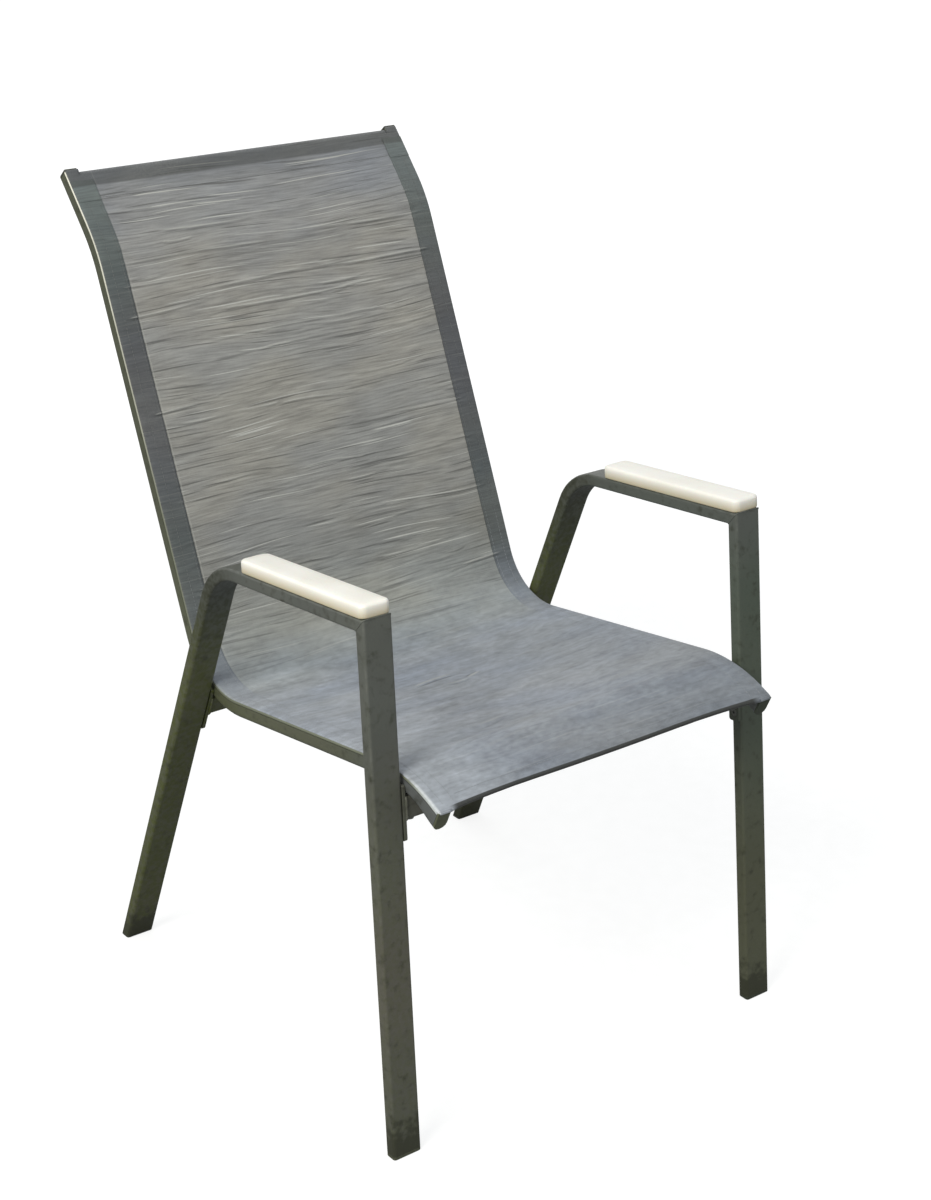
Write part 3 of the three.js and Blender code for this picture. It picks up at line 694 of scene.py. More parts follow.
def faded_cloth(net, across, along, stops):
    """The yarn's colour from place to place, with painted light at the front-left corner and edge."""
    tone = along_cloth(net, along, stops)
    clouds = ramp(net, grain(net, cloth_place(net), 1.0, 3, (5, 11, 1)), 0.36, 0.64)
    tone = mixed(net, clouds, tone, mixed(net, 1.0, tone, paint(243, 247, 255), "MULTIPLY"))
    # Painted light: a lighter patch on the seat's front-left corner.
    painted_light_front_corner = times(net, ramp(net, across, -0.20, -0.08, 0.85, 0.0),
                         ramp(net, along, 0.14, 0.3, 1.0, 0.0))
    tone = mixed(net, painted_light_front_corner, tone, paint(172, 178, 184))
    # Painted highlight along the cloth's left outer edge near the front.
    painted_edge_highlight = times(net, ramp(net, across, -245.3 * mm, -243.1 * mm, 0.75, 0.0),
                        ramp(net, along, 0.035, 0.08, 1.0, 0.0))
    tone = mixed(net, painted_edge_highlight, tone, paint(228, 232, 233))
    far_side = times(net, ramp(net, across, 0.02, 0.16, 0.0, 0.3),
                     ramp(net, along, 0.30, 0.40, 1.0, 0.0))
    return mixed(net, far_side, tone, paint(112, 120, 126))


def cloth_finish(name, stops, yarns, openness, bands, stripes):
    """A mesh material; bands lie across the cloth, and stripes run along its back."""
    net = blank(name)
    axes = axes_of(net, cloth_place(net))
    across, along = axes["X"], axes["Y"]
    on_back = ramp(net, along, 0.40, 0.58)
    yarns = times(net, yarns, calc(net, "MULTIPLY_ADD", on_back, 0.8, 0.2))
    pulled = use_group(net, pulled_group, Colour=faded_cloth(net, across, along, stops),
                       Back_Share=on_back, Amount=yarns)
    tone = pulled["Colour"]
    for band in bands:
        tone = banded(net, tone, along, *band)
    below_head = times(net, on_back, ramp(net, along, 0.92, 1.02, 1.0, 0.2))
    for stripe in stripes:
        tone = banded(net, tone, across, *stripe, only=below_head)
    woven = use_group(net, weave_group, Yarn_Colour=tone, Openness=openness)
    dusty = use_group(net, dust_group, Colour=woven["Colour"], Dust_Colour=paint(156, 156, 146),
                      Amount=0.14, Patches=7.0)
    between_rails = ramp(net, calc(net, "ABSOLUTE", across), 218 * mm, 232 * mm, 1.0, 0.0)
    tone = banded(net, dusty["Colour"], along, -0.1, front_edge + 1.8 * mm, 0.96, paint(24, 27, 20),
                  only=between_rails)
    raised = calc(net, "MULTIPLY_ADD", pulled["Height"], 0.8, woven["Height"])
    return finished(name, tone, 0.62, raised, bump=0.22, Sheen_Weight=0.15)


# %% [markdown]
# A band or stripe is written as (from, to, strength, colour). On the sling they are the seam's
# shadow, the doubled cloth above it, the painted shade of the tube behind the head, a pale line
# beside the left hem, and the doubled cloth past both hem lines, which shows from behind. On the
# hems the stripes are painted shade along their inner edges, stronger on the left.

# %% Sling and hem cloth
seat_stops = [(0.00, paint(134, 139, 144)), (0.06, paint(147, 152, 157)), (0.16, paint(168, 172, 176)),
              (0.38, paint(172, 178, 184))]
head_shadow = (rail_length - 28.5 * mm, past_the_end, 0.68, paint(58, 61, 58), 1.0, 3 * mm)
doubled = 0.6, paint(62, 66, 66)
# The darker stop at 0.58 metres, where the back rises from the seat, is painted shade.
sling_cloth = cloth_finish(
    "woven mesh",
    [*seat_stops, (0.45, paint(168, 173, 171)), (0.50, paint(165, 166, 157)), (0.58, paint(148, 147, 138)),
     (0.64, paint(156, 154, 145)), (0.84, paint(163, 160, 150)), (0.97, paint(162, 159, 150)),
     (1.03, paint(149, 149, 146)), (1.12, paint(142, 144, 146))],
    yarns=1.0, openness=0.5,
    bands=[(seam_at - 1.8 * mm, seam_at - 0.2 * mm, 0.5, paint(66, 68, 68)),
           (seam_at, past_the_end, 0.16, paint(60, 66, 66)), head_shadow],
    stripes=[(-hem_line + 1.4 * mm, -hem_line + 3.2 * mm, 0.45, paint(196, 196, 184)),
             (-past_the_end, -hem_line - 0.6 * mm, *doubled), (hem_line + 0.6 * mm, past_the_end, *doubled)],
)
# The hem's stripes are painted shade along its inner edges, darker on the left than on the right.
hem_cloth = cloth_finish(
    "hem mesh",
    [*seat_stops, (0.42, paint(164, 170, 176)), (0.54, paint(99, 104, 101)), (0.64, paint(84, 90, 88)),
     (0.76, paint(88, 89, 89)), (0.88, paint(86, 87, 86)), (0.98, paint(88, 95, 91)),
     (1.12, paint(108, 117, 112))],
    yarns=0.1, openness=0.45,
    bands=[head_shadow],
    stripes=[(-hem_line - 1.6 * mm, 0.0, 0.7, paint(42, 44, 44)),
             (0.0, hem_line + 1.2 * mm, 0.3, paint(60, 62, 60))],
)


# %% [markdown]
# ## Tubes, rails, plates and caps
#
# All the hard pieces of the frame are copies of the measured ones. Only the rails and their
# nose caps are helped a little: they grow deeper over their last 50 millimetres, so that the
# noses look blunt. The long faces are cut there into short ones, and the points below the upper
# face are drawn down, more and more towards the end.

# %% Deeper noses
nose_reach, nose_growth = 50 * mm, 4.8 * mm
nose_step, steps_per_cut = 0.5 * mm, 8
upper_part, lower_part = 5 * mm, 10 * mm


def eased(share):
    """A share from 0 to 1 that starts and ends slowly."""
    return share * share * (3 - 2 * share)


def deeper_nose(shape):
    """Draws the underside of a rail or cap down towards the nose; the upper face stays."""
    places = np.arange(0, nose_reach, nose_step)
    y, z, deep_y, deep_z = rail_at(places)
    for cut in range(steps_per_cut, len(places), steps_per_cut):
        bmesh.ops.bisect_plane(
            shape, geom=shape.verts[:] + shape.edges[:] + shape.faces[:], dist=0.01 * mm,
            plane_co=(0, y[cut], z[cut]), plane_no=(0, -deep_z[cut], deep_y[cut]))
    for point in shape.verts:
        off_y, off_z = point.co.y - y, point.co.z - z
        nearest = np.abs(off_y * deep_z - off_z * deep_y).argmin()
        depth = off_y[nearest] * deep_y[nearest] + off_z[nearest] * deep_z[nearest]
        share = 1 - places[nearest] / nose_reach if nearest < len(places) - 1 else 0
        lower = min(max((depth - upper_part) / lower_part, 0), 1)
        growth = nose_growth * eased(share) * lower
        point.co += Vector((0, deep_y[nearest], deep_z[nearest])) * growth


# %% [markdown]
# The measured model holds the right shapes, but as loose triangles that shade flat. A copy gets
# its corners welded, keeps a crease only where two faces meet sharply, and takes a narrow bevel
# there, because no pressed or sawn edge is truly sharp.

# %% Smooth copies
crease_angle = math.radians(38)
weld_distance, flat_angle = 0.002 * mm, math.radians(0.2)


def show(piece, slot, *stands_for):
    """Puts a finished piece on the chair: it rides on the frame and stands for model nodes."""
    bpy.context.scene.collection.objects.link(piece)
    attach(piece, "root")
    if stands_for:
        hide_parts(*stands_for)
    return piece


def smooth_copy(node, name, finish, rounding=0.0):
    """A welded copy of a model node with smooth shading and, if asked, rounded sharp edges."""
    shape = bmesh.new()
    shape.from_mesh(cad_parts[node].data)
    bmesh.ops.remove_doubles(shape, verts=shape.verts, dist=weld_distance)
    bmesh.ops.dissolve_limit(shape, angle_limit=flat_angle, verts=shape.verts, edges=shape.edges)
    if "sling_rail" in node or "nose_cap" in node:
        deeper_nose(shape)
    for face in shape.faces:
        face.smooth = True
    for edge in shape.edges:
        edge.smooth = edge.calc_face_angle(0.0) < crease_angle
    mesh = bpy.data.meshes.new(name)
    shape.to_mesh(mesh)
    shape.free()
    mesh.materials.append(finish)
    piece = bpy.data.objects.new(name, mesh)
    if rounding:
        bevel = piece.modifiers.new("rounded edges", "BEVEL")
        bevel.width, bevel.segments, bevel.limit_method = rounding * mm, 3, "ANGLE"
        bevel.angle_limit = crease_angle
        bevel.harden_normals = True
    weighted = piece.modifiers.new("even shading", "WEIGHTED_NORMAL")
    weighted.keep_sharp = True
    show(piece, "dark_plastic" if finish is dark_plastic else "coated_aluminium", node)


sides = {"left": -1, "right": 1}
on_each_side = (
    ("sling_rail", "rail", rail_coat, 0.0),
    ("front_leg_tube", "front_leg", coated, 0.0),
    ("arm_rear_leg_tube", "arm_and_rear_leg", coated, 0.0),
    ("front_end_plate", "front_plate", coated, 0.5),
    ("rear_end_plate", "rear_plate", coated, 0.5),
    ("front_glide", "front_foot", dark_plastic, 0.4),
    ("rear_glide", "rear_foot", dark_plastic, 0.4),
    ("rail_nose_cap", "nose_end_cap", dark_plastic, 1.15),
    ("rail_head_cap", "head_end_cap", dark_plastic, 0.8),
)
for side in sides:
    for node, name, finish, rounding in on_each_side:
        smooth_copy(f"{side}_{node}", f"{side}_{name}", finish, rounding)
smooth_copy("front_cross_tube", "front_crossbar", coated)
smooth_copy("rear_cross_tube", "rear_crossbar", coated)
smooth_copy("head_spreader_tube", "spreader", coated)
print("smooth copies:", 2 * len(on_each_side) + 3)

# %% [markdown]
# ## Small parts that stay as measured
#
# The bolts, nuts, screws and the spreader's plugs have the right shape in the measured model,
# flat faces and all, so they only get a finish.

# %% Fasteners
small_parts = {"bolt": steel, "nut": steel, "screw": steel, "spigot": dark_plastic}
for name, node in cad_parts.items():
    for word, finish in small_parts.items():
        if word in name:
            node.data.materials.clear()
            node.data.materials.append(finish)


# %% [markdown]
# ## Pieces made of rings
#
# Everything that is made new, from a weld bead to the sling, is a grid of points: rows of
# points along the piece, joined by four-sided faces. In a cord or a pad each row closes to a
# ring, and two flat faces close the ends. Pieces of cloth also keep their place in the flat
# cloth, for the weave.

# %% Grids and rings
def woven_faces(rows, count, ring_closed, path_closed):
    """Four-sided faces between neighbouring rows of a grid of points."""
    index = np.arange(rows * count).reshape(rows, count)
    low, high = (index, np.roll(index, -1, 0)) if path_closed else (index[:-1], index[1:])
    if ring_closed:
        corners = (low, np.roll(low, -1, 1), np.roll(high, -1, 1), high)
    else:
        corners = (low[:, :-1], low[:, 1:], high[:, 1:], high[:, :-1])
    return np.stack(corners, -1).reshape(-1, 4).tolist()


def cord_faces(rows, count):
    """The faces of a row of rings, with a flat face at each end."""
    ends = [list(range(count)), list(range((rows - 1) * count, rows * count))]
    return woven_faces(rows, count, True, False) + ends


def rings_round(middles, radii, first, second, count):
    """A ring of points round each middle, in the plane of two directions."""
    angles = np.linspace(0, 2 * math.pi, count, endpoint=False)[:, None]
    spokes = first[..., None, :] * np.cos(angles) + second[..., None, :] * np.sin(angles)
    return middles[..., None, :] + radii[..., None, None] * spokes


def make_mesh(name, points, faces, finish, place=None):
    """A smooth-shaded mesh object, with its place in the flat cloth where it is cloth."""
    mesh = bpy.data.meshes.new(name)
    mesh.from_pydata(np.asarray(points).reshape(-1, 3).tolist(), [], faces)
    mesh.materials.append(finish)
    mesh.polygons.foreach_set("use_smooth", [True] * len(mesh.polygons))
    if place is not None:
        kept = mesh.attributes.new("cloth_place", "FLOAT_VECTOR", "POINT")
        kept.data.foreach_set("vector", np.asarray(place, np.float32).ravel())
    mesh.update()
    return bpy.data.objects.new(name, mesh)


def outward(piece):
    """Turns the faces of a closed piece to the outside."""
    shape = bmesh.new()
    shape.from_mesh(piece.data)
    bmesh.ops.recalc_face_normals(shape, faces=shape.faces)
    shape.to_mesh(piece.data)
    shape.free()
    return piece


# %% [markdown]
# ## Welds
#
# The arm is sawn at a mitre and welded to the front leg, and each crossbar is welded to an end
# plate all round. A weld bead is a small round cord with ripples. Here it is a ring of circles
# swept round the outline of the tube's end, and the outline is read from the model: it is the
# hull of the points that lie furthest out along the tube. The arm's bead is thin and even, the
# crossbars' beads are thicker. The sides of the chair lean in a little towards the top.

# %% Beads
bead_step, bead_points = 0.7 * mm, 10
frame_lean = 7 / 641
mitre_direction = (0, 0.773, 0.634)
arm_bead, arm_bead_out = (0.75 * mm, 0.05), 0.3 * mm
crossbar_bead, crossbar_bead_in = (1.7 * mm, 0.14), 0.5 * mm
ripple_turn = 2.1


def end_outline(node, direction):
    """Evenly spaced points round the end of a tube that lies furthest along direction."""
    points = [v.co.copy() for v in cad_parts[node].data.vertices]
    direction = Vector(direction).normalized()
    furthest = max(p.dot(direction) for p in points)
    end = [p for p in points if furthest - p.dot(direction) < 0.05 * mm]
    turn = direction.to_track_quat("Z", "Y").to_matrix()
    flat = [turn.transposed() @ p for p in end]
    hull = [turn @ flat[i] for i in convex_hull_2d([p.xy for p in flat])]
    hull = np.array(hull + hull[:1])
    lengths = way_along(hull)
    places = np.linspace(0, lengths[-1], round(lengths[-1] / bead_step), endpoint=False)
    return np.stack([np.interp(places, lengths, hull[:, k]) for k in range(3)], -1)


def weld_bead(name, outline, radius, ripple):
    """A closed bead along an outline, with ripples of so much of its radius."""
    ahead = unit(np.roll(outline, -1, 0) - np.roll(outline, 1, 0))
    out = outline - outline.mean(0)
    out = unit(out - ahead * (out * ahead).sum(1, keepdims=True))
    waves = 1 + ripple * np.sin(np.arange(len(outline)) * ripple_turn)
    rings = rings_round(outline, radius * waves, out, np.cross(ahead, out), bead_points)
    faces = woven_faces(len(outline), bead_points, True, True)
    show(outward(make_mesh(name, rings, faces, coated)), "coated_aluminium")


for side, sign in sides.items():
    shift = Vector(mitre_direction).normalized() * arm_bead_out
    outline = end_outline(f"{side}_front_leg_tube", mitre_direction) + np.array(shift)
    weld_bead(f"{side}_arm_weld", outline, *arm_bead)
    for end in ("front", "rear"):
        outline = end_outline(f"{end}_cross_tube", (sign, 0, frame_lean))
        outline[:, 0] -= sign * crossbar_bead_in
        weld_bead(f"{side}_{end}_crossbar_weld", outline, *crossbar_bead)


# %% [markdown]
# ## Arm pads
#
# Each arm carries a pad of ivory plastic, with rounded corners, a soft upper edge and a
# slightly crowned top, so that water runs off. It is built from rings, like a stack of
# rounded rectangles: a drawn-in foot that leaves a shadow line on the tube, straight sides, a
# quarter-round edge, and then smaller and smaller rings up to the crown.

# %% Arm pads
pad_length, pad_width, pad_height = 241 * mm, 40 * mm, 16 * mm
pad_corner, smallest_corner = 9 * mm, 3 * mm
pad_edge, crown, crown_inset = 4 * mm, 0.7 * mm, 14 * mm
arm_slope = math.radians(5.65)


def rounded_rectangle(half_across, half_along, corner):
    """Points round a rectangle, all of them on its four round corners."""
    corner = max(corner, smallest_corner)
    turns = np.linspace(0, math.pi / 2, 7)
    points = []
    for quarter, (sx, sy) in enumerate(((1, 1), (-1, 1), (-1, -1), (1, -1))):
        middle = np.array((sx * (half_across - corner), sy * (half_along - corner)))
        angles = turns + quarter * math.pi / 2
        points += list(middle + corner * np.stack((np.cos(angles), np.sin(angles)), -1))
    return np.array(points)


def pad_rings():
    """Rings of the pad from its foot to its crown: points across, along and up."""
    layers = [(0.9 * mm, 0.0), (0.9 * mm, 0.7 * mm), (0.0, 1.1 * mm), (0.0, 4 * mm), (0.0, 8 * mm)]
    for angle in np.linspace(0, math.pi / 2, 7):
        layers.append((pad_edge * (1 - math.cos(angle)), pad_height - pad_edge * (1 - math.sin(angle))))
    for inset in (6 * mm, 8 * mm, 10 * mm, 12 * mm, crown_inset):
        share = (inset - pad_edge) / (crown_inset - pad_edge)
        layers.append((inset, pad_height + crown * (1 - (1 - share) ** 2)))
    rings = []
    for inset, rise in layers:
        ring = rounded_rectangle(pad_width / 2 - inset, pad_length / 2 - inset, pad_corner - inset)
        rings.append(np.column_stack((ring, np.full(len(ring), rise))))
    return np.array(rings)


for side, sign in sides.items():
    low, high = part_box(f"{side}_arm_pad")
    along = Vector((0, math.cos(arm_slope), -math.sin(arm_slope)))
    up = Vector((-sign * frame_lean, -along.z, along.y)).normalized()
    across = along.cross(up)
    centre = (low + high) / 2 - up * pad_height / 2
    rings = pad_rings()
    placed = (np.array(centre) + rings[..., :1] * np.array(across) + rings[..., 1:2] * np.array(along)
              + rings[..., 2:] * np.array(up))
    pad = outward(make_mesh(f"{side}_pad", placed, cord_faces(*placed.shape[:2]), ivory))
    kept = pad.data.attributes.new("height_on_arm", "FLOAT", "POINT")
    kept.data.foreach_set("value", np.asarray(rings[..., 2], np.float32).ravel())
    finer = pad.modifiers.new("softer edge", "SUBSURF")
    finer.levels = finer.render_levels = 1
    show(pad, "ivory_plastic", f"{side}_arm_pad")
    print(side, "pad from", [round(c, 4) for c in low], "to", [round(c, 4) for c in high])


# %% [markdown]
# ## Stretching the cloth
#
# The cloth is cut a little narrower than the chair, and its edges are pulled into the rails.
# That keeps it flat across the chair. Along the chair it is looser: it bridges the hollow
# between seat and back a little, and its free front edge is drawn back between the rails.
# A cloth simulation finds that shape. The grid starts on the rails' line, the columns on the
# rails and the row on the spreader are held, and a second shape of the same grid, narrower,
# tells the solver how long the yarns would like to be.

# %% Grid of the cloth
spreader_end = 229.7 * mm
layer = 0.8 * mm
middle_lift = 0.7 * mm
columns, rows = 33, 116
cloth_x = np.linspace(-half_width, half_width, columns)
cloth_v = np.linspace(front_edge, spreader_at, rows)
start_grid = beside_rail(cloth_x[None, :], cloth_v[:, None], middle_lift)

# %% [markdown]
# The cloth is stiff along its yarns, gives a little on the slant between them, and bends
# easily. After thirty frames the result is read from the solver and kept as plain points, and
# the solver's own piece is taken away again.

# %% Cloth simulation
held_beyond, held_near_top = 226 * mm, 6 * mm
cut_across, cut_along = 0.985, 0.998
moments = 30


def stretched(grid):
    """The grid after the cloth has pulled tight between the rails and the spreader."""
    faces = woven_faces(rows, columns, False, False)
    sheet = make_mesh("sling_solver", grid, faces, sling_cloth)
    bpy.context.scene.collection.objects.link(sheet)
    held = np.zeros((rows, columns), bool)
    held[:, np.abs(cloth_x) > held_beyond] = True
    held[cloth_v > spreader_at - held_near_top] = True
    group = sheet.vertex_groups.new(name="held")
    group.add(np.flatnonzero(held.ravel()).tolist(), 1.0, "REPLACE")
    sheet.shape_key_add(name="on the chair")
    as_cut = sheet.shape_key_add(name="as cut")
    narrow = grid * (cut_across, 1, 1)
    middle = narrow.mean(1, keepdims=True)
    as_cut.data.foreach_set("co", (middle + (narrow - middle) * (1, cut_along, cut_along)).ravel())
    cloth = sheet.modifiers.new("tension", "CLOTH")
    cloth.settings.vertex_group_mass = "held"
    cloth.settings.rest_shape_key = as_cut
    cloth.settings.quality = 8
    cloth.settings.mass = 0.05
    cloth.settings.tension_stiffness = cloth.settings.compression_stiffness = 40
    cloth.settings.shear_stiffness = 8
    cloth.settings.bending_stiffness = 0.5
    cloth.settings.air_damping = 4
    cloth.settings.effector_weights.gravity = 0.3
    for moment in range(1, moments + 1):
        bpy.context.scene.frame_set(moment)
    solved = sheet.evaluated_get(bpy.context.evaluated_depsgraph_get()).data
    points = np.zeros(rows * columns * 3)
    solved.vertices.foreach_get("co", points)
    bpy.data.objects.remove(sheet)
    bpy.context.scene.frame_set(1)
    return points.reshape(rows, columns, 3)


tight = stretched(start_grid)
moved = np.linalg.norm(tight - start_grid, axis=2)
print("cloth moved at most", round(moved.max() / mm, 2), "mm; front edge", round(moved[0].max() / mm, 2))

# %% [markdown]
# The solver's grid is coarse. Between its points the cloth is a smooth surface, so later pieces
# ask for any place on it: so far across, so far along, so far off its middle. A spline through
# the four neighbours each way gives the place, and one extra row and column of points all round
# lets it work at the edges too.

# %% Between the points of the grid
def with_rim(grid):
    """The grid with one more row before and after it, each as far away as its neighbours are."""
    return np.concatenate((2 * grid[:1] - grid[1:2], grid, 2 * grid[-1:] - grid[-2:-1]))


padded = with_rim(with_rim(tight).swapaxes(0, 1)).swapaxes(0, 1)


def spline_shares(t):
    """How much each of four neighbours counts at t between the middle two."""
    return np.stack((-t + 2 * t**2 - t**3, 2 - 5 * t**2 + 3 * t**3, t + 4 * t**2 - 3 * t**3,
                     t**3 - t**2), -1) / 2


def smooth_cloth(x, v):
    """The middle of the stretched cloth, without its creases; past the grid it runs on level."""
    beyond = (x - np.clip(x, -half_width, half_width))[..., None] * (1, 0, 0)
    across = np.clip((x + half_width) / (2 * half_width) * (columns - 1), 0, columns - 1)
    along = np.clip((v - front_edge) / (spreader_at - front_edge) * (rows - 1), 0, rows - 1)
    i, j = (np.minimum(a.astype(int), n - 2) for a, n in ((along, rows), (across, columns)))
    shares_i, shares_j = spline_shares(along - i), spline_shares(across - j)
    total = 0
    for a in range(4):
        for b in range(4):
            total = total + (shares_i[..., a] * shares_j[..., b])[..., None] * padded[i + a, j + b]
    return total + beyond


# %% [markdown]
# Shallow creases are added to that surface. Each is a ridge with a hollow beside it, a few
# millimetres wide and long across the chair, which is what a pulled yarn leaves in a stretched
# mesh. Most are drawn by chance, nearly all of them on the back, and the seat's are flatter. A
# few more were listed where the photograph shows the cloth sat in. A crease is written as
# its place across and along, its reach across, its width, its height, its slope and its bow.

# %% Creases
draw = np.random.RandomState(11)
crease_count = 440
at_random = np.column_stack((
    draw.uniform(-0.22, 0.22, crease_count),
    np.where(draw.rand(crease_count) < 0.92, draw.uniform(0.51, 1.06, crease_count),
             draw.uniform(0.04, 0.51, crease_count)),
    0.025 + 0.13 * draw.rand(crease_count) ** 2,
    draw.uniform(1.1, 1.8, crease_count) * mm,
    (0.10 + 0.62 * draw.rand(crease_count) ** 4) * mm,
    draw.normal(0.01, 0.025, crease_count),
    draw.normal(0, 2.5, crease_count) * mm,
))
flatter_on_seat = 0.45
at_random[at_random[:, 1] < bend_at, 4] *= flatter_on_seat
sat_in = np.array([
    (-36, 299, 30, 2.2, 1.3, 0.10, -2.5),
    (-18, 270, 20, 2.0, 0.8, -0.05, 2),
    (12, 282, 11, 2.2, -1.4, 0.3, 0),
    (-150, 88, 50, 4.0, 0.5, 0.24, 4),
    (-125, 112, 60, 3.5, 0.42, 0.20, 4),
    (-95, 70, 60, 4.5, 0.45, 0.14, 3),
    (-60, 128, 70, 4.0, 0.38, 0.12, 2),
    (-20, 96, 70, 4.5, 0.36, 0.06, 2),
    (80, 110, 80, 5.0, 0.3, -0.05, 3),
]) * (mm, mm, mm, mm, mm, 1, mm)
creases = np.concatenate((at_random, sat_in))
print("creases:", len(creases))


def crease_height(x, v):
    """How far the creases lift the cloth at each place; they die out towards all its edges."""
    x, v = (np.ascontiguousarray(a) for a in np.broadcast_arrays(x, v))
    total = np.zeros(x.shape)
    for place_x, place_v, reach, width, height, slope, bow in creases:
        near = (np.abs(v - place_v) < 0.03) & (np.abs(x - place_x) < 1.5 * reach)
        aside = (x[near] - place_x) / reach
        over = (v[near] - place_v - slope * (x[near] - place_x) - bow * aside**2) / width
        total[near] += height * over * np.exp(0.5 - over**2 / 2 - aside**4)
    calm = np.clip((half_width - 5 * mm - np.abs(x)) / (14 * mm), 0, 1)
    ends = np.clip((v - front_edge) / (40 * mm), 0, 1) * np.clip((spreader_at - v) / (30 * mm), 0, 1)
    return total * calm * ends


# %% [markdown]
# Two more things bend the sheet. Its outer edge curls down over the welt, and its free front
# edge is pulled back between the rails, most of all in the middle. With them any place on the
# real cloth can be found.

# %% Places on the creased cloth
curl, curl_from, curl_width = 0.95 * mm, 244.5 * mm, 2.3 * mm
pulled_back, pulled_between, pulled_along = 7 * mm, 232 * mm, 110 * mm


def edge_drop(x):
    """How far the cloth's outer edge curls down over the bead."""
    return curl * np.clip((np.abs(x) - curl_from) / curl_width, 0, 1) ** 2


def drawn_back(x, v):
    """How far the free front edge is pulled back between the rails."""
    free = 1 - np.clip(np.abs(x) / pulled_between, 0, 1) ** 5
    return pulled_back * free * np.clip(1 - (v - front_edge) / pulled_along, 0, 1) ** 2


def on_cloth(x, v, lift=0.0):
    """Points on the creased cloth, lifted off its middle towards the sitter."""
    x, v = np.broadcast_arrays(np.asarray(x, float), np.asarray(v, float))
    small, there = 0.5 * mm, v + drawn_back(x, v)
    beside = smooth_cloth(x + small, there) - smooth_cloth(x - small, there)
    ahead = smooth_cloth(x, there + small) - smooth_cloth(x, there - small)
    off_it = crease_height(x, v) + lift - edge_drop(x)
    return smooth_cloth(x, there) + unit(np.cross(beside, ahead)) * off_it[..., None]


def flat_place(x, v):
    """What the weave needs to know there: across, along, and the height of the creases."""
    return np.stack((*np.broadcast_arrays(x, v), crease_height(x, v)), -1)


# %% [markdown]
# ## The sling
#
# The sling is one piece of cloth. Between the rails its front edge is folded under and sewn,
# and its top goes over the spreader tube and comes down behind it to the seam: that is the
# sleeve. Beside the spreader the cloth runs on up the rails. Its rows of points follow that
# course: hem, fold, sheet, round the spreader, and down to the seam.

# %% Course round the spreader
spreader_depth, sleeve_radius = 8 * mm, 8.7 * mm


def sleeve_course():
    """Rows (length along the cloth, y, z) round the spreader, until the cloth heads for the seam."""
    centre = beside_rail(0.0, spreader_at, -spreader_depth)[1:]
    top = unit(beside_rail(0.0, spreader_at + 5 * mm, -spreader_depth)[1:] - centre)
    back = np.array((top[1], -top[0]))
    seam = on_cloth([0.0], seam_at, -layer)[0, 1:]
    course = []
    for angle in np.arange(0, 1.6 * math.pi, math.radians(7)):
        point = centre + sleeve_radius * (-back * math.cos(angle) + top * math.sin(angle))
        ahead = back * math.sin(angle) + top * math.cos(angle)
        course.append(point)
        if angle > math.pi / 2 and ahead @ unit(seam - point) > 0.998:
            break
    return np.column_stack((spreader_at + way_along(course), course))


sleeve = sleeve_course()


def sleeve_rows(x):
    """The sleeve over some columns: round the spreader, straight down, and sewn to the sheet's back."""
    points = [np.column_stack((x, np.full(len(x), y), np.full(len(x), z))) for _, y, z in sleeve[1:]]
    sewn = [on_cloth(x, seam_at - below, -layer - 0.05 * mm) for below in (0.0, 3 * mm, 6 * mm)]
    leaves = points[-1]
    points += [leaves + (sewn[0] - leaves) * share for share in np.linspace(0, 1, 12)[1:-1]] + sewn
    steps = [np.linalg.norm(after - before, axis=1).mean() for before, after in zip(points, points[1:])]
    return points, list(sleeve[1, 0] + np.concatenate(([0], np.cumsum(steps))))


# %% [markdown]
# The front hem takes 21 millimetres of cloth: eighteen lie flat under the sheet, and three go
# round the fold. On each rail the cloth turns down over the nose instead, with a round corner.

# %% Front edge of the sling
front_hem, hem_under, fold_rise = 21 * mm, 18 * mm, 2.3 * mm


def hem_rows(x):
    """The folded front edge, from its raw end under the cloth to the fold."""
    flat = [on_cloth(x, v, -2 * fold_rise)
            for v in np.linspace(front_edge + hem_under, front_edge + fold_rise, 8)]
    edge, inner = on_cloth(x, front_edge, -fold_rise), on_cloth(x, front_edge + 2 * mm, -fold_rise)
    ahead = unit(edge - inner)
    up = (on_cloth(x, front_edge, 0) - edge) / fold_rise
    fuller = 1.4 * mm * np.clip((np.abs(x) - 190 * mm) / (40 * mm), 0, 1) ** 2
    reach = (fold_rise + fuller)[:, None]
    turn = [edge + reach * ahead * math.sin(angle) - fold_rise * up * math.cos(angle)
            for angle in np.linspace(0, math.pi, 7)[1:-1]]
    places = [front_edge - front_hem + 2 * mm * k for k in range(8)] + [front_edge - 2 * mm] * 5
    return flat + turn, places


def nose_rows(x):
    """The cloth beside the hem, which turns down over the end of the rail."""
    nose_end, bend = 1.2 * mm, 2.0 * mm
    points, places = [], []
    aside = np.clip((np.abs(x) - cloth_edge) / corner_radius + 1, 0, 1)
    corner = corner_radius * (1 - np.sqrt(1 - aside**2))
    for angle in np.radians((88, 72, 55, 38, 20)):
        points.append(beside_rail(x, nose_end + corner - bend * math.sin(angle),
                                  middle_lift - bend * (1 - math.cos(angle)) - edge_drop(x)))
        places.append(front_edge - bend * angle)
    return points, places


# %% [markdown]
# So the sling is three grids with the same rows of points on the sheet: one between the rails,
# and one on each rail. They share the points along their common edges, which makes them one
# piece of cloth. The rows lie closer on the back, where the creases are finer.

# %% The sling from three grids
head_top = rail_length - 2 * mm
inner_x = np.linspace(-spreader_end, spreader_end, 93)
edge_x = np.concatenate(([spreader_end], np.array((234, 239, 243, 244.5, 245.4, 246.2, 246.8)) * mm))
sheet_v = np.concatenate((np.linspace(front_edge, bend_at, 330, endpoint=False),
                          np.linspace(bend_at, spreader_at, 560)))


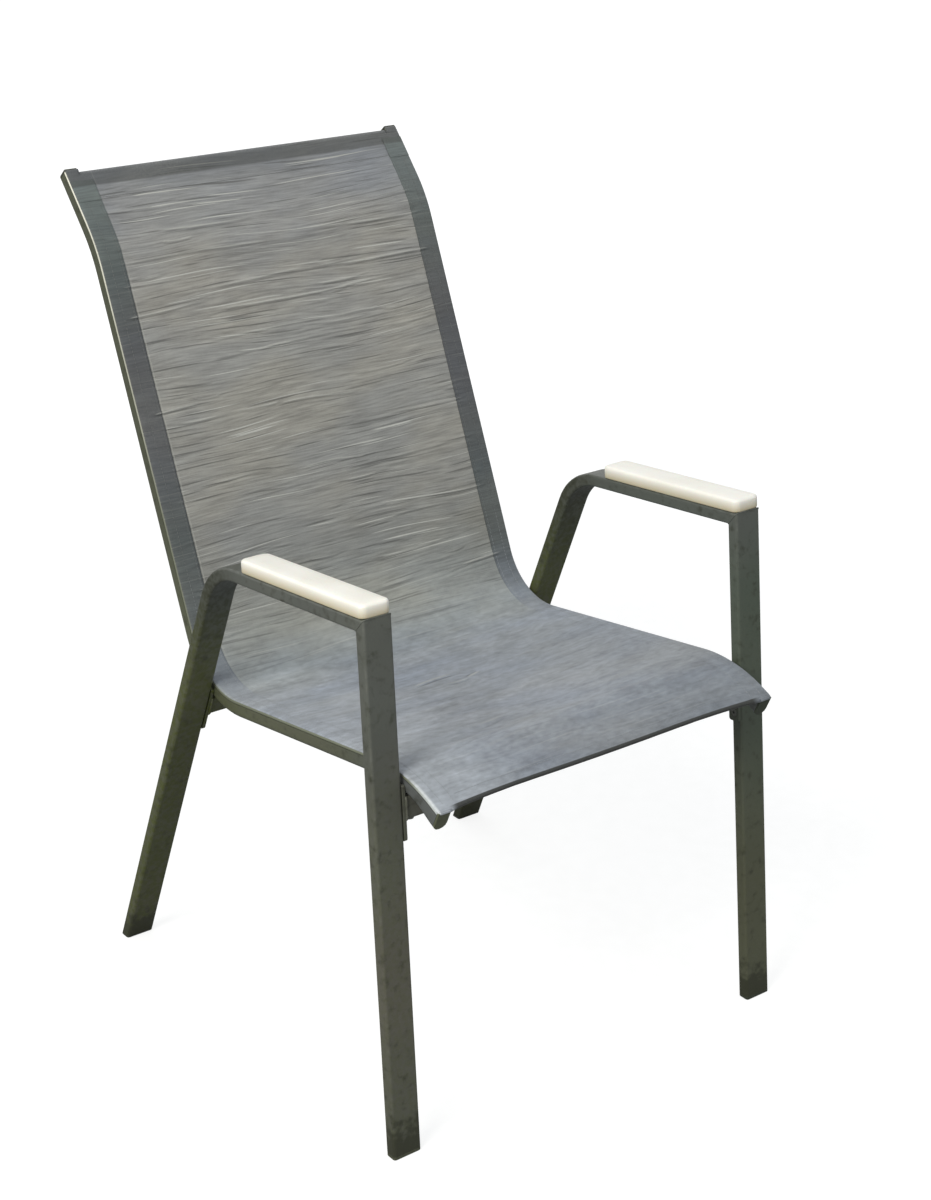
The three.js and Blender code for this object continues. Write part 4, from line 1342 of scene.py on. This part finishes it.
def patch(x, between_rails):
    """A grid of the sling over some columns: its points and their places in the flat cloth."""
    sheet = on_cloth(x[None, :], sheet_v[:, None])
    if between_rails:
        front, front_v = hem_rows(x)
        top, top_v = sleeve_rows(x)
    else:
        front, front_v = nose_rows(x)
        top_v = list(np.linspace(spreader_at, head_top, 6)[1:])
        top = [beside_rail(x, v, middle_lift - edge_drop(x)) for v in top_v]
    v = np.array(front_v + list(sheet_v) + top_v)
    return np.concatenate((front, sheet, top)), flat_place(x[None, :], v[:, None])


def joined(patches):
    """Patches that share their edges, as one set of points, faces and places."""
    points = np.concatenate([p.reshape(-1, 3) for p, _ in patches])
    flat = np.concatenate([f.reshape(-1, 3) for _, f in patches])
    faces, start = [], 0
    for grid, _ in patches:
        faces.append(np.array(woven_faces(*grid.shape[:2], False, False)) + start)
        start += grid.shape[0] * grid.shape[1]
    _, first, same = np.unique(np.round(points, 7), axis=0, return_index=True, return_inverse=True)
    return points[first], same.ravel()[np.concatenate(faces)].tolist(), flat[first]


sleeve_end = sleeve_rows(inner_x)[1][-1]
print("sleeve takes", round((sleeve_end - spreader_at) / mm, 1), "mm of cloth")
points, faces, flat = joined([patch(inner_x, True), patch(edge_x, False), patch(-edge_x[::-1], False)])
sling = make_mesh("sling", points, faces, sling_cloth, flat)
thick = sling.modifiers.new("cloth thickness", "SOLIDIFY")
thick.thickness, thick.offset = layer, 0
show(sling, "mesh", "sling_mesh")
print("sling:", len(points), "points")


# %% [markdown]
# ## Hems, corner patches and stitches
#
# Along both sides the cloth is doubled by a hem about 26 millimetres wide, which takes the pull
# of the rails. It is a second layer on the sheet, so it is a strip of its own, one layer higher
# and following every crease. At the top corners short patches add one more layer.

# %% Hem strips
hem_foot = layer / 2 + 0.02 * mm
thin_hem, thick_hem = 0.12 * mm, 0.60 * mm


def hem_thickness(v):
    """The hem's own thickness: full on the back, pressed flat where people sit."""
    share = np.clip((np.asarray(v) - 0.40) / 0.16, 0, 1)
    return thin_hem + (thick_hem - thin_hem) * eased(share)


def strip(name, x_ends, v_ends, foot, count):
    """A thin strip of hem cloth that lies on the sheet: a ring of points for each row."""
    x, v = np.linspace(*x_ends, 11)[None, :], np.linspace(*v_ends, count)[:, None]
    top, bottom = on_cloth(x, v, foot + hem_thickness(v)), on_cloth(x, v, foot)
    rings = np.concatenate((top, bottom[:, ::-1]), 1)
    place = flat_place(x, v)
    place = np.concatenate((place, place[:, ::-1]), 1)
    piece = outward(make_mesh(name, rings, cord_faces(*rings.shape[:2]), hem_cloth, place))
    piece.data.set_sharp_from_angle(angle=crease_angle)
    return show(piece, "mesh")


for side, sign in sides.items():
    x_ends = sorted((sign * (cloth_edge - 0.3 * mm), sign * hem_line))
    strip(f"{side}_hem", x_ends, (front_edge + 1 * mm, seam_at), hem_foot, 760)
    strip(f"{side}_corner_patch", x_ends, (seam_at - 5 * mm, seam_at + 24 * mm),
                       hem_foot + 0.62 * mm, 18)


# %% [markdown]
# The sewing thread dips under the cloth and comes up again, so all that shows is a row of short
# arches. Each stitch is a cord of five rings, thinner at its ends. Two rows hold each hem to
# the sheet, one closes the sleeve and one holds the front hem.

# %% Stitches
stitch_length, stitch_gap, thread_radius = 3.2 * mm, 1.5 * mm, 0.3 * mm
girths = np.array((0.55, 0.95, 1, 0.95, 0.55))


def stitch_row(x_ends, v_ends, face):
    """Short arched stitches on a face of the cloth, from one place on it to another."""
    start, end = np.array((x_ends[0], v_ends[0])), np.array((x_ends[1], v_ends[1]))
    total = np.linalg.norm(end - start)
    count = int(total / (stitch_length + stitch_gap))
    heading = (end - start) / total
    steps = np.linspace(-0.5, 0.5, 5)
    centres = start + heading * ((np.arange(count) + 0.5) * (stitch_length + stitch_gap))[:, None]
    places = centres[:, None] + heading * (steps * stitch_length)[:, None]
    arch = face(places[..., 1]) + thread_radius * np.cos(steps * math.pi) * 0.9
    middles = on_cloth(places[..., 0], places[..., 1], arch)
    ups = unit(on_cloth(places[..., 0], places[..., 1], arch + mm) - middles)
    ahead = unit(middles[:, -1:] - middles[:, :1])
    return rings_round(middles, thread_radius * girths, ups, np.cross(ahead, ups), 6)


def sew(name, rows_of_stitches):
    """One piece of thread work from several rows of stitches."""
    rings = np.concatenate(rows_of_stitches)
    count, steps, around = rings.shape[:3]
    one = cord_faces(steps, around)
    faces = [[corner + k * steps * around for corner in face] for k in range(count) for face in one]
    print(name, count, "stitches")
    return show(outward(make_mesh(name, rings, faces, thread)), "mesh")


hem_face = lambda v: hem_foot + hem_thickness(v)
sheet_face = lambda v: layer / 2
side_rows = []
for sign in sides.values():
    for x in (sign * (hem_line + 4 * mm), sign * (half_width - 7 * mm)):
        side_rows.append(stitch_row((x, x), (front_edge + 6 * mm, seam_at - 6 * mm), hem_face))
sew("side_stitches", side_rows)
inside = hem_line - 2 * mm
sew("seam_stitches", [
    stitch_row((-inside, inside), (seam_at - 1.1 * mm,) * 2, sheet_face),
    stitch_row((-inside, inside), (front_edge + 14 * mm,) * 2, sheet_face),
])

# %% [markdown]
# ## Welts
#
# The bead that locks the cloth in the rail shows as a light line all along the rail's outer
# edge. It is a round cord, drawn as a ring of points that follows the rail's line, and it lies
# in the groove of the measured rail.

# %% Welts
welt_radius, groove_floor, welt_points = 2.2 * mm, 4.5 * mm, 16
lengths = np.linspace(2.8 * mm, rail_length - 2.8 * mm, 420)
angles = np.linspace(0, 2 * math.pi, welt_points, endpoint=False)
for side, sign in sides.items():
    low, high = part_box(f"{side}_sling_welt")
    welt_x = abs(low.x + high.x) / 2
    rings = beside_rail(sign * (welt_x + welt_radius * np.cos(angles)), lengths[:, None],
                        welt_radius - groove_floor + welt_radius * np.sin(angles))
    faces = cord_faces(len(lengths), welt_points)
    show(outward(make_mesh(f"{side}_welt", rings, faces, welt_finish)), "welt", f"{side}_sling_welt")
    print(side, "welt at", round(welt_x, 4))
